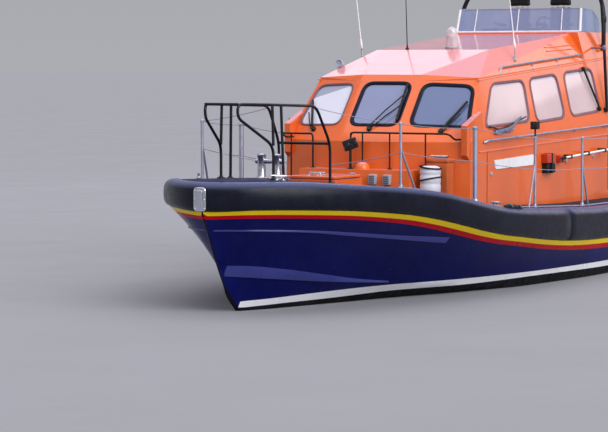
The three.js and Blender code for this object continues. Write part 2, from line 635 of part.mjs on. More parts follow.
const WHEEL = { station: 9470, y: 360, z: 3750, radius: 150, tilt: 0.4 };
const tiltedAt = (along, out = 0, up = 0) => at(
  WHEEL.station + along * Math.cos(WHEEL.tilt) - up * Math.sin(WHEEL.tilt),
  WHEEL.y + out,
  WHEEL.z + along * Math.sin(WHEEL.tilt) + up * Math.cos(WHEEL.tilt),
);
const flyConsole = box(9320, 9395, -700, 700, FLY_FLOOR + GAP, 3720)
  .add(bar(tiltedAt(-120), tiltedAt(-12 - GAP), 30, 10, 0));
put("flybridge_console", flyConsole, BLACK);
const rim = new THREE.TorusGeometry(WHEEL.radius, 14, 6, 20);
rim.rotateY(Math.PI / 2);
const spokes = [0, 120, 240].map((degrees) => {
  const a = THREE.MathUtils.degToRad(degrees);
  return bar(at(BOW_X, 0, 0), at(BOW_X, WHEEL.radius * Math.sin(a), WHEEL.radius * Math.cos(a)), 9, 6, 0);
});
const hub = bar(at(BOW_X - 12, 0, 0), at(BOW_X + 12, 0, 0), 32, 10, 0);
const flatWheel = unite([solid(rim), hub, ...spokes]);
const wheelPlace = at(WHEEL.station, WHEEL.y, WHEEL.z);
put("flybridge_wheel", flatWheel
  .rotate([0, THREE.MathUtils.radToDeg(WHEEL.tilt), 0])
  .translate([wheelPlace.x, wheelPlace.y, wheelPlace.z]), BLACK);

// Seats: a cushion, a back and a headrest on one pedestal
const seat = (s, y, floor, height, scale, headHalf = 140) => {
  const part = (s0, s1, half, z0, z1) =>
    box(s + s0 * scale, s + s1 * scale, y - half * scale, y + half * scale, floor + z0, floor + z1);
  const back = [[170, -30], [280, -30], [250, 570 * scale], [350, 570 * scale]];
  return unite([
    part(-90, 90, 90, GAP, height - 60),
    part(-260, 220, 240, height - 80, height + 40),
    convex(back.flatMap(([ds, dz]) =>
      [-230, 230].map((dy) => at(s + ds * scale, y + dy * scale, floor + height + dz)))),
    part(245, 335, headHalf, height + 560 * scale, height + 760 * scale),
  ]);
};
const FLY_SEATS = { station: 9790, y: 360, height: 300, scale: 0.85, headHalf: 230 };
const SEAT_STRIP = 30;
put("flybridge_seats", unite([
  box(FLY_SEATS.station - 120, FLY_SEATS.station + 120, -500, 500, FLY_FLOOR + GAP, FLY_FLOOR + SEAT_STRIP),
  ...[-1, 1].map((side) => seat(
    FLY_SEATS.station, side * FLY_SEATS.y, FLY_FLOOR + 10, FLY_SEATS.height, FLY_SEATS.scale, FLY_SEATS.headHalf,
  )),
]), BLACK);

// Cabin: the helm console, and three seats in line on a rail on each side
const helmConsole = convex([-1180, 1180].flatMap((y) => [
  at(4990, y, SOLE + GAP), at(5600, y, SOLE + GAP), at(5650, y, 1500), at(5560, y, 1980), at(5120, y, 2130),
  at(4990, y, 2100),
])).intersect(wheelhouseBody(WALL + GAP));
put("helm_console", helmConsole, GREY);
const CREW_ROWS = [6400, 7550, 8700];
for (const [name, side] of [["port", 1], ["starboard", -1]]) {
  const rail = box(6200, 8900, side * 720 - 120, side * 720 + 120, SOLE + GAP, SOLE + SEAT_STRIP);
  const seats = CREW_ROWS.map((s) => seat(s, side * 720, SOLE + 10, 560, 1));
  put(`crew_seats_${name}`, unite([rail, ...seats]), BLACK);
}

// Engines, plain, in the well under the engine hatch
for (const [name, side] of [["port", 1], ["starboard", -1]]) {
  const y = side * JET_Y;
  put(`engine_${name}`, box(10770, 12100, y - 400, y + 400, ENGINE_WELL.floor + GAP, 880), GREY);
}
const LID_EDGE = REBATE.edge - RUN;
put("engine_hatch", box(
  ENGINE_WELL.fore - LID_EDGE, ENGINE_WELL.aft + LID_EDGE,
  -ENGINE_WELL.half - LID_EDGE, ENGINE_WELL.half + LID_EDGE, REBATE.z + GAP, ENGINE_HATCH_TOP,
), NAVY);

// Foredeck trunk in front of the wheelhouse, and what stands on and beside it
const trunk = convex([
  [3950, 880, TRUNK_TOP], [3860, 930, 1100], [5200, 900, TRUNK_TOP], [5200, 930, 1100],
].flatMap(([s, y, z]) => [at(s, y, z), at(s, -y, z)]));
put("foredeck_trunk", seated(trunk).subtract(houseSkin), ORANGE);
const canister = bar(at(4130, 1110, 1200), at(4130, 1110, 1770), 145, 16, 0);
put("raft_canister", seated(canister), WHITE);
const FRONT_RAIL = { station: 4250, start: -220, side: 1350, top: 2205, end: 2120, radius: 14, post: 11 };
const TRUNK_POSTS = [-30, 405];
const DECK_POST = 970; // outboard of the trunk, so this post stands on the deck
const frontPost = (y, foot) =>
  bar(at(FRONT_RAIL.station, y, foot), at(FRONT_RAIL.station, y, FRONT_RAIL.top), FRONT_RAIL.post, 6, 0);
const frontRun = run([
  at(FRONT_RAIL.station, FRONT_RAIL.start, TRUNK_TOP + GAP),
  at(FRONT_RAIL.station, FRONT_RAIL.start, FRONT_RAIL.top),
  at(FRONT_RAIL.station, FRONT_RAIL.side - 20, FRONT_RAIL.top),
  at(FRONT_RAIL.station + 150, FRONT_RAIL.side, FRONT_RAIL.end),
  at(4900, FRONT_RAIL.side, FRONT_RAIL.end),
], FRONT_RAIL.radius);
const frontRail = unite([frontRun, ...TRUNK_POSTS.map((y) => frontPost(y, TRUNK_TOP))])
  .subtract(box(3000, 5000, -2000, 2000, 1500, TRUNK_TOP + GAP))
  .add(seated(frontPost(DECK_POST, 1200)))
  .subtract(houseSkin);
put("front_rail", frontRail, BLACK);

// Rails on the wheelhouse: one along each knuckle, one along each roof edge
const knuckleZ = (s) => KNUCKLE.z + (s - KNUCKLE.station) * KNUCKLE.rise;
const kneeRail = unite([
  run([at(5050, 1540, knuckleZ(5050)), at(9250, 1540, knuckleZ(9250))], 15),
  ...[5100, 6100, 7100, 8100, 9200].map((s) => bar(at(s, 1540, knuckleZ(s)), at(s, 1400, knuckleZ(s)), 11, 6, 0)),
]).subtract(houseSkin);
put("hand_rail_port", kneeRail, STEEL);
put("hand_rail_starboard", mirrored(kneeRail).subtract(houseSkin), STEEL);
const roofRailPoint = (s, lift) => at(s, sideY(eaveZ(s)) - 25, eaveZ(s) + lift);
const roofSkin = roofForm(-GAP, ROOF_END);
const roofRail = unite([
  run([roofRailPoint(5950, 20), roofRailPoint(6030, 130), roofRailPoint(8900, 130), roofRailPoint(8960, 20)], 14),
  ...[7100, 8000].map((s) => bar(roofRailPoint(s, 20), roofRailPoint(s, 130), 11, 6, 0)),
]);
put("roof_rail_port", roofRail.subtract(roofSkin), STEEL);
put("roof_rail_starboard", mirrored(roofRail).subtract(roofSkin), STEEL);

const lampHead = bar(lampAt(LAMP.low), lampAt(LAMP.top), LAMP.radius, 16, 0);
const lampFoot = bar(lampAt(LAMP.post + GAP), lampAt(LAMP.low + 10), 34, 8, 0);
put("searchlight", lampHead.add(lampFoot), STEEL);

const whip = (s, y, [forward, inboard]) => bar(at(s, y, 3040), at(s, y, 3420), 16, 6, 0)
  .add(bar(at(s, y, 3400), at(s - forward, y - inboard, 5000), 7, 6, 0)).subtract(roofSkin);
put("aerial_port", whip(6650, 1180, [0, 200]), WHITE);
put("aerial_starboard", whip(6250, -1165, [100, 140]), WHITE);

// Mast: a frame over the flybridge that folds aft about its feet on the tub's sides
const mastSide = [
  [MAST.station, MAST.y, MAST.z], [MAST.station, MAST.y, 4000], [9790, 1120, 4300], [9900, 560, 4750],
].map((p) => at(...p));
const mastHalf = unite([
  run(mastSide, MAST.radius, 8),
  bar(
    at(MAST.station, MAST.y - MAST.radius, MAST.z), at(MAST.station, MAST.y + MAST.radius, MAST.z), 42, 10, 0,
  ),
]);
const PLATFORM = { station: 9900, z: 4750 };
const mast = unite([
  mastHalf, mirrored(mastHalf),
  bar(at(9814, -996, 4400), at(9814, 996, 4400), 30),
  box(PLATFORM.station - 240, PLATFORM.station + 240, -580, 580, PLATFORM.z, PLATFORM.z + 40),
  bar(at(10080, 420, PLATFORM.z), at(10080, 420, 5250), 22, 6, 0),
]);
put("mast", mast, BLACK);
const dome = new THREE.LatheGeometry([
  [0, 0], [290, 0], [310, 60], [300, 150], [200, 215], [0, 235],
].map(([r, z]) => new THREE.Vector2(r, z)), 20);
dome.rotateX(Math.PI / 2);
const domePlace = at(PLATFORM.station, 0, PLATFORM.z + 40 + GAP);
put("radome", solid(dome.translate(domePlace.x, domePlace.y, domePlace.z)), WHITE);

// Waterjets: impeller in the duct, housing on the transom, steering nozzle, reversing bucket
const ring = (s0, s1, outer0, outer1, inner0, inner1, y) => {
  const tube = (r0, r1, extra) => loft([
    circleRing(s0 - extra, y, JET_Z, r0, r0, 20), circleRing(s1 + extra, y, JET_Z, r1, r1, 20),
  ]);
  return tube(outer0, outer1, 0).subtract(tube(inner0, inner1, 1));
};
const spin = (body, y, degrees) => body
  .translate([0, -y, -JET_Z]).rotate([degrees, 0, 0]).translate([0, y, JET_Z]);
const NOZZLE = { pivot: 13215, fore: 13195, aft: 13390, boss: 30, lug: 200 };
const BUCKET = { pivot: 13270, inner: 246, outer: 262, half: 196, arm: 12 };
const OUTLET = { fore: 13110, aft: 13185, outer: 140, inner: 120 };
for (const [name, side] of [["port", 1], ["starboard", -1]]) {
  const y = side * JET_Y;
  const lugs = [1, -1].map((up) =>
    box(12940, NOZZLE.pivot + 40, y - 40, y + 40, JET_Z + up * 214 - 14, JET_Z + up * 214 + 14));
  const vanes = [0, 60, 120, 180, 240, 300].map((degrees) =>
    spin(box(12960, 13030, y - 5, y + 5, JET_Z + 50, JET_Z + 165), y, degrees));
  put(`jet_housing_${name}`, unite([
    ring(TRANSOM_LOW + GAP, TRANSOM_LOW + 30, 270, 270, DUCT_R, DUCT_R, y),
    ring(TRANSOM_LOW + 20, OUTLET.fore, 225, OUTLET.outer, DUCT_R - 2, OUTLET.inner, y),
    ring(OUTLET.fore - 1, OUTLET.aft, OUTLET.outer, OUTLET.outer, OUTLET.inner, OUTLET.inner, y),
    bar(at(12950, y, JET_Z), at(13060, y, JET_Z), 60, 12, 0),
    ...vanes, ...lugs,
  ]), STEEL);
  const blades = [0, 90, 180, 270].map((degrees) => {
    const blade = solid(new THREE.BoxGeometry(150, 12, 130).rotateZ(0.7));
    const c = at(12850, y, JET_Z + 113);
    return spin(blade.translate([c.x, c.y, c.z]), y, degrees);
  });
  put(`impeller_${name}`, unite([
    bar(at(12760, y, JET_Z), at(12950 - GAP, y, JET_Z), 58, 12, 0),
    bar(at(12560, y, JET_Z), at(12770, y, JET_Z), 26, 10, 0),
    ...blades,
  ]), STEEL);
  const bosses = [1, -1].map((up) => bar(
    at(NOZZLE.pivot, y, JET_Z + up * 165), at(NOZZLE.pivot, y, JET_Z + up * (NOZZLE.lug - GAP)),
    NOZZLE.boss, 10, 0));
  const pins = [1, -1].map((out) => bar(
    at(BUCKET.pivot, y + out * 158, JET_Z),
    at(BUCKET.pivot, y + out * (BUCKET.half - BUCKET.arm - GAP), JET_Z), 24, 10, 0));
  put(`jet_nozzle_${name}`, unite([
    ring(NOZZLE.fore, NOZZLE.aft, 184, 150, 172, 132, y), ...bosses, ...pins,
  ]), STEEL);
  const arc = (radius, from, to) => Array.from({ length: 9 }, (_, k) => {
    const a = THREE.MathUtils.degToRad(from + ((to - from) * k) / 8);
    return [BUCKET.pivot + radius * Math.cos(a), JET_Z + radius * Math.sin(a)];
  });
  const profile = [...arc(BUCKET.outer, 32, 105), ...arc(BUCKET.inner, 32, 105).reverse()];
  const shell = loft([-1, 1].map((out) => profile.map(([s, z]) => at(s, y + out * BUCKET.half, z))));
  const arms = [-1, 1].map((out) => {
    const sector = [...arc(BUCKET.outer - 4, 36, 101), ...arc(40, 150, 390)];
    const at0 = y + out * BUCKET.half;
    const at1 = y + out * (BUCKET.half - 12);
    return loft([at0, at1].map((w) => sector.map(([s, z]) => at(s, w, z))));
  });
  put(`reverse_bucket_${name}`, unite([shell, ...arms]), STEEL);
}

export default boat;
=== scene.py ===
# A 13.6 m waterjet rescue lifeboat afloat, in a plain studio.
# Metres, in the part's own frame: +X to the bow, +Y to port, +Z up, waterline at z 0.
# A place along the boat is a station, the distance aft of the bow tip.

import math

import bpy
import bmesh
import numpy as np
from mathutils import Matrix, Quaternion, Vector
from mathutils.bvhtree import BVHTree


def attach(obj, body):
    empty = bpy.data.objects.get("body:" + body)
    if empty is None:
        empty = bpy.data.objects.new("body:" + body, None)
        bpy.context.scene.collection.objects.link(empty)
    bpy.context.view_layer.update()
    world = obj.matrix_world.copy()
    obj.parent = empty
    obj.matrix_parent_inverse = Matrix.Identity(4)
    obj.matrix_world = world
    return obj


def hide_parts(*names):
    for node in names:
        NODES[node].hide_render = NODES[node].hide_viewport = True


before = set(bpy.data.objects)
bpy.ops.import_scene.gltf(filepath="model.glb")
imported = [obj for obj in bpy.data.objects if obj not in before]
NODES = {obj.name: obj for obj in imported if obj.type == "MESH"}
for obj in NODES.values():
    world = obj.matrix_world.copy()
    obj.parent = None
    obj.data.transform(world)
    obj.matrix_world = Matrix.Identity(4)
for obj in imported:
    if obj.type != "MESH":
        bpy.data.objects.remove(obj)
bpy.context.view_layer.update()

# Driving dimensions
BOW = 6.8
HALF_BEAM = 2.27
ENTRY = 6.0  # station where the sides become parallel
FENDER_TIP = 0.035
DECK_INSET = 0.2  # deck edge behind the fender's outer face
TOPSIDE_INSET = 0.08
TRANSOM = 12.9
STERN = 13.4
TUBE = 0.019


def at(station, y, z):
    return Vector((BOW - station, y, z))


# Camera and light
CAMERA = dict(bearing=29.5, distance=33.036, height=3.266, focal_px=2365.4, roll=-0.1)
AIM = Vector((2.8, 0.0, 1.9))
AIM_PIXEL = (355.6, 155.0)
PICTURE = (608, 432)


def make_camera():
    turn = math.radians(CAMERA["bearing"])
    data = bpy.data.cameras.new("camera")
    data.sensor_width = 36.0
    data.lens = CAMERA["focal_px"] * data.sensor_width / PICTURE[0]
    data.clip_end = 900.0
    camera = bpy.data.objects.new("camera", data)
    bpy.context.scene.collection.objects.link(camera)
    camera.location = Vector((
        AIM.x + CAMERA["distance"] * math.cos(turn),
        AIM.y + CAMERA["distance"] * math.sin(turn),
        CAMERA["height"],
    ))
    to_aim = (AIM - camera.location).normalized()
    right = to_aim.cross(Vector((0, 0, 1))).normalized()
    up = right.cross(to_aim)
    off_right = (AIM_PIXEL[0] - PICTURE[0] / 2) / CAMERA["focal_px"]
    off_up = (PICTURE[1] / 2 - AIM_PIXEL[1]) / CAMERA["focal_px"]
    ahead = (to_aim - right * off_right - up * off_up).normalized()
    facing = ahead.to_track_quat("-Z", "Y")
    camera.rotation_mode = "QUATERNION"
    camera.rotation_quaternion = facing @ Quaternion((0, 0, 1), math.radians(CAMERA["roll"]))
    bpy.context.scene.camera = camera


def area_light(name, place, aim, size, power, tint=(1, 1, 1)):
    data = bpy.data.lights.new(name, "AREA")
    data.shape = "RECTANGLE"
    data.size, data.size_y = size
    data.energy = power
    data.color = tint
    light = bpy.data.objects.new(name, data)
    bpy.context.scene.collection.objects.link(light)
    light.location = place
    light.rotation_mode = "QUATERNION"
    light.rotation_quaternion = (Vector(aim) - Vector(place)).to_track_quat("-Z", "Y")


def wide_light(name, direction, degrees, strength, tint=(1, 1, 1)):
    """Soft light from a wide patch of sky, the same all over the scene."""
    data = bpy.data.lights.new(name, "SUN")
    data.angle = math.radians(degrees)
    data.energy = strength
    data.color = tint
    light = bpy.data.objects.new(name, data)
    bpy.context.scene.collection.objects.link(light)
    light.rotation_mode = "QUATERNION"
    light.rotation_quaternion = Vector(direction).to_track_quat("Z", "Y")


def make_light():
    world = bpy.data.worlds.new("studio")
    bpy.context.scene.world = world
    world.use_nodes = True
    nodes, link = world.node_tree.nodes, world.node_tree.links.new
    coord = nodes.new("ShaderNodeTexCoord")
    split = nodes.new("ShaderNodeSeparateXYZ")
    ramp = nodes.new("ShaderNodeValToRGB")
    link(coord.outputs["Generated"], split.inputs[0])
    link(split.outputs["Z"], ramp.inputs[0])
    steps = ramp.color_ramp.elements
    steps[0].position, steps[0].color = 0.0, (0.66, 0.67, 0.72, 1)
    steps[1].position, steps[1].color = 0.8, (0.95, 0.9, 1.0, 1)
    low_sky = steps.new(0.2)
    low_sky.color = (0.56, 0.55, 0.62, 1)
    background = nodes["Background"]
    link(ramp.outputs["Color"], background.inputs["Color"])
    background.inputs["Strength"].default_value = 0.62
    wide_light("overhead", (0.2, 0.15, 1.0), 90, 1.5, (1.0, 0.98, 1.0))
    wide_light("beam_side", (0.3, 0.85, 0.5), 50, 2.1)
    area_light("front_roof_glare", (-21.5, -13.9, 17.2), (1.1, 0, 3.2), (9, 9), 330, (0.94, 0.88, 1.0))
    area_light("after_sky", (-36, 10, 16), (-2, 1, 3), (16, 14), 1050, (1.0, 0.9, 0.98))
    bpy.context.scene.view_settings.view_transform = "Standard"


def make_floor():
    reach = 400.0
    mesh = bpy.data.meshes.new("floor")
    mesh.from_pydata([(-reach, -reach, 0), (reach, -reach, 0), (reach, reach, 0), (-reach, reach, 0)],
                     [], [(0, 1, 2, 3)])
    floor = bpy.data.objects.new("floor", mesh)
    bpy.context.scene.collection.objects.link(floor)
    mesh.materials.append(finish("floor", (150, 152, 157), 0.9, specular=0.05, mottle=0.02,
                                 mottle_size=3.0))


# Materials
def linear(rgb):
    return tuple(((v / 255 + 0.055) / 1.055) ** 2.4 if v > 10 else v / 255 / 12.92 for v in rgb)


def finish(name, rgb, roughness, metallic=0.0, coat=0.0, mottle=0.1, mottle_size=0.4,
           grain=0.0, grain_size=0.004, streak=0.0, alpha=1.0, specular=0.5, sheen=0.0, painted_sky_sheen=None,
           shade_band=None):
    """A paint, metal or plastic: mottled colour, uneven gloss, optional runs and a grained surface.

    painted_sky_sheen is a painted reflection of the sky: the colour that surfaces facing up are lightened
    towards, given as (colour, upward part of the facing where it starts, where it is full, how much).
    shade_band is a painted shade: a second colour beyond a plane, given as (direction, distance, colour).
    """
    material = bpy.data.materials.new(name)
    material.use_nodes = True
    nodes, link = material.node_tree.nodes, material.node_tree.links.new
    shader = nodes["Principled BSDF"]
    coord = nodes.new("ShaderNodeTexCoord")

    def noise(size, detail=4.0, stretch=(1, 1, 1)):
        mapping = nodes.new("ShaderNodeMapping")
        mapping.inputs["Scale"].default_value = [v / size for v in stretch]
        link(coord.outputs["Object"], mapping.inputs["Vector"])
        texture = nodes.new("ShaderNodeTexNoise")
        texture.inputs["Scale"].default_value = 1.0
        texture.inputs["Detail"].default_value = detail
        link(mapping.outputs["Vector"], texture.inputs["Vector"])
        return texture.outputs["Fac"]

    def ranged(value, low, high):
        node = nodes.new("ShaderNodeMapRange")
        node.inputs["From Min"].default_value = 0.3
        node.inputs["From Max"].default_value = 0.7
        node.inputs["To Min"].default_value = low
        node.inputs["To Max"].default_value = high
        link(value, node.inputs["Value"])
        return node.outputs["Result"]

    def mixed(factor, first, second):
        node = nodes.new("ShaderNodeMix")
        node.data_type = "RGBA"
        link(factor, node.inputs[0])
        for socket, value in ((node.inputs[6], first), (node.inputs[7], second)):
            if isinstance(value, tuple):
                socket.default_value = (*value, 1)
            else:
                link(value, socket)
        return node.outputs[2]

    base = linear(rgb)
    dark = tuple(v * (1 - mottle) for v in base)
    light = tuple(min(1.0, v * (1 + mottle) + 0.01 * mottle) for v in base)
    shade = mixed(ranged(noise(mottle_size), 0, 1), dark, light)
    if streak:
        runs = ranged(noise(0.12, 5.0, (1, 1, 0.06)), 0, streak)
        shade = mixed(runs, shade, tuple(v * 0.45 + 0.03 for v in base))
    # painted reflection of the sky: faces turned up are mixed towards a lighter sky colour
    if painted_sky_sheen:
        sky_colour, start, full, amount = painted_sky_sheen
        facing = nodes.new("ShaderNodeSeparateXYZ")
        link(coord.outputs["Normal"], facing.inputs[0])
        sheen_mix = nodes.new("ShaderNodeMapRange")
        for socket, value in zip(("From Min", "From Max", "To Min", "To Max"), (start, full, 0.0, amount)):
            sheen_mix.inputs[socket].default_value = value
        link(facing.outputs["Z"], sheen_mix.inputs["Value"])
        shade = mixed(sheen_mix.outputs["Result"], shade, linear(sky_colour))
    # painted shade: past a plane the glass turns greyer, standing in for the shadow inside the top of the
    # frame
    if shade_band:
        direction, distance, colour = shade_band
        along = nodes.new("ShaderNodeVectorMath")
        along.operation = "DOT_PRODUCT"
        link(coord.outputs["Object"], along.inputs[0])
        along.inputs[1].default_value = direction
        edge = nodes.new("ShaderNodeMapRange")
        edge.inputs["From Min"].default_value = distance
        edge.inputs["From Max"].default_value = distance + 0.012
        link(along.outputs["Value"], edge.inputs["Value"])
        shade = mixed(edge.outputs["Result"], shade, linear(colour))
    link(shade, shader.inputs["Base Color"])
    link(ranged(noise(mottle_size * 0.37, 6.0), max(0.02, roughness * 0.75), min(1.0, roughness * 1.25)),
         shader.inputs["Roughness"])
    if grain:
        bump = nodes.new("ShaderNodeBump")
        bump.inputs["Strength"].default_value = grain
        bump.inputs["Distance"].default_value = grain_size
        link(noise(grain_size, 3.0), bump.inputs["Height"])
        link(bump.outputs["Normal"], shader.inputs["Normal"])
    shader.inputs["Metallic"].default_value = metallic
    shader.inputs["Specular IOR Level"].default_value = specular
    shader.inputs["Coat Weight"].default_value = coat
    shader.inputs["Coat Roughness"].default_value = 0.06
    shader.inputs["Sheen Weight"].default_value = sheen
    shader.inputs["Alpha"].default_value = alpha
    return material


NAVY = finish("navy_gloss", (2, 9, 80), 0.22, specular=0.1, mottle=0.14, mottle_size=0.8, streak=0.1)
# the hull's navy painted lighter, a painted highlight where the mouldings face the sky
NAVY_RAIL_HIGHLIGHT = finish("navy_moulding_painted_highlight", (52, 58, 126), 0.34, specular=0.3, mottle=0.1, mottle_size=0.5)
YELLOW = finish("stripe_yellow", (236, 204, 4), 0.34, specular=0.2, mottle=0.05)
RED = finish("stripe_red", (186, 0, 22), 0.34, specular=0.1, mottle=0.07)
WHITE_PAINT = finish("boot_white", (240, 241, 246), 0.35, coat=0.2, mottle=0.04, streak=0.1)
BOTTOM = finish("antifouling_black", (10, 12, 18), 0.8, specular=0.2, mottle=0.35, mottle_size=0.25,
                grain=0.25,
                grain_size=0.01)
# painted sky sheen: the fender's upward faces are lightened blue-grey, a painted reflection
RUBBER = finish("fender_rubber", (5, 9, 28), 0.3, specular=0.22, mottle=0.25, mottle_size=0.3, grain=0.12,
                grain_size=0.006, streak=0.08, painted_sky_sheen=((104, 118, 170), 0.35, 1.0, 0.5))
# painted sky sheen: the house's upward faces are lightened pink, a painted reflection of the sky
ORANGE = finish("house_orange", (230, 104, 40), 0.2, coat=0.5, specular=0.3, mottle=0.05, mottle_size=0.9,
                streak=0.05, painted_sky_sheen=((222, 158, 172), 0.62, 0.86, 0.72))
ORANGE_DARK = finish("seam_orange", (150, 62, 26), 0.5, mottle=0.1)
DECK = finish("deck_navy", (20, 26, 66), 0.7, specular=0.3, mottle=0.15, grain=0.5, grain_size=0.003)
NON_SLIP = finish("non_slip", (44, 48, 66), 0.9, specular=0.2, mottle=0.2, grain=0.8, grain_size=0.003)
STEEL = finish("stainless", (206, 208, 216), 0.2, metallic=1.0, mottle=0.06, mottle_size=0.1)
BLACK_TUBE = finish("black_tube", (12, 13, 22), 0.36, specular=0.35, mottle=0.2, mottle_size=0.15)
BLACK = finish("black_plastic", (14, 15, 20), 0.5, specular=0.35, mottle=0.2, grain=0.15, grain_size=0.002)
SEAL = finish("window_seal", (4, 8, 34), 0.5, specular=0.2, mottle=0.15)
TRIM = finish("window_trim", (120, 80, 90), 0.45, mottle=0.1)
GREY = finish("console_grey", (104, 110, 116), 0.6, mottle=0.08, grain=0.2, grain_size=0.002)
RAIL_STEEL = finish("rail_steel", (176, 178, 196), 0.4, metallic=0.85, mottle=0.1, mottle_size=0.1)
PALE_GREY = finish("vent_grey", (158, 164, 178), 0.5, mottle=0.08, grain=0.1, grain_size=0.002)
BRACKET = finish("bracket_grey", (112, 122, 150), 0.4, metallic=0.4, mottle=0.1)
WHITE = finish("white_gelcoat", (238, 238, 242), 0.28, coat=0.4, mottle=0.04)
CANISTER_WHITE = finish("canister_white", (226, 226, 236), 0.4, mottle=0.07, streak=0.15, grain=0.1)
VINYL = finish("seat_vinyl", (24, 25, 30), 0.5, specular=0.4, mottle=0.15, grain=0.4, grain_size=0.003,
               sheen=0.15)
VINYL_HARD = finish("arm_vinyl", (20, 21, 26), 0.45, specular=0.4, mottle=0.15, grain=0.2, grain_size=0.003)
CAST = finish("cast_aluminium", (168, 170, 172), 0.42, metallic=0.9, mottle=0.12, grain=0.2,
              grain_size=0.004)
ENGINE = finish("engine_grey", (108, 112, 116), 0.5, metallic=0.2, mottle=0.15, grain=0.15)
# The front panes' colours are painted reflections: the starboard pane near white as painted sky glare, with
# a painted shade band across its top; the centre pane mid blue-lavender and the port pane a dimmer blue.
GLASS_PAINTED_GLARE = finish("glass_painted_glare", (232, 234, 250), 0.05, coat=0.5, mottle=0.06, mottle_size=0.8, alpha=0.94,
                    shade_band=((0, -0.28, 1), 3.02, (168, 174, 196)))
GLASS_PAINTED_MID_REFLECTION = finish("glass_painted_mid_reflection", (122, 133, 172), 0.05, coat=0.5, mottle=0.06, mottle_size=0.8, alpha=0.92)
GLASS_PAINTED_DIM_REFLECTION = finish("glass_painted_dim_reflection", (92, 108, 150), 0.05, coat=0.5, mottle=0.06, mottle_size=0.8, alpha=0.92)
# Side and door glass: pink-beige as a painted reflection of the surroundings, with a painted shade band
# across the top of the side panes.
SIDE_GLASS_PAINTED_REFLECTION = finish("side_glass_painted_reflection", (214, 188, 190), 0.06, coat=0.5, mottle=0.08, mottle_size=0.9, alpha=0.92,
                    shade_band=((0.0559, 0, 1), 2.89, (168, 160, 178)))
SCREEN_GLASS = finish("screen_glass", (150, 166, 204), 0.05, coat=0.4, mottle=0.05, alpha=0.6)
CLEAR = finish("clear_dome", (236, 228, 232), 0.06, coat=0.6, mottle=0.04, alpha=0.5)
SCREEN_BLACK = finish("display", (10, 14, 22), 0.12, coat=0.4, mottle=0.2)
RED_BOX = finish("box_red", (190, 52, 18), 0.4, coat=0.2, mottle=0.08)
BROWN = finish("cover_brown", (196, 92, 40), 0.8, mottle=0.2, grain=0.4, grain_size=0.004)


# Mesh building
def curve(table):
    """A smooth function through a table of (station, value) that never overshoots it."""
    xs = np.array([row[0] for row in table], float)
    ys = np.array([row[1] for row in table], float)
    gaps = np.diff(xs)
    slopes = np.diff(ys) / gaps
    tangents = np.empty_like(ys)
    tangents[0], tangents[-1] = slopes[0], slopes[-1]
    for k in range(1, len(xs) - 1):
        before, after = slopes[k - 1], slopes[k]
        tangents[k] = 0.0 if before * after <= 0 else 2 * before * after / (before + after)

    def read(x):
        x = min(max(x, xs[0]), xs[-1])
        k = min(int(np.searchsorted(xs, x, side="right")) - 1, len(gaps) - 1)
        h = gaps[k]
        t = (x - xs[k]) / h
        return float(
            ys[k] * (2 * t ** 3 - 3 * t ** 2 + 1) + h * tangents[k] * (t ** 3 - 2 * t ** 2 + t)
            + ys[k + 1] * (3 * t ** 2 - 2 * t ** 3) + h * tangents[k + 1] * (t ** 3 - t ** 2)
        )
    return read


def softened(points, radius, steps=6, closed=False):
    """The same path with its corners rounded."""
    points = [Vector(p) for p in points]
    count = len(points)
    path = []
    for k, p in enumerate(points):
        if not closed and k in (0, count - 1):
            path.append(p)
            continue
        before, after = points[k - 1], points[(k + 1) % count]
        reach = min(radius, (before - p).length * 0.48, (after - p).length * 0.48)
        a = p + (before - p).normalized() * reach
        b = p + (after - p).normalized() * reach
        for j in range(steps + 1):
            t = j / steps
            path.append(a * (1 - t) ** 2 + p * 2 * t * (1 - t) + b * t ** 2)
    return path


def box_corners(lo, hi):
    return [Vector((x, y, z)) for z in (lo[2], hi[2]) for y in (lo[1], hi[1]) for x in (lo[0], hi[0])]


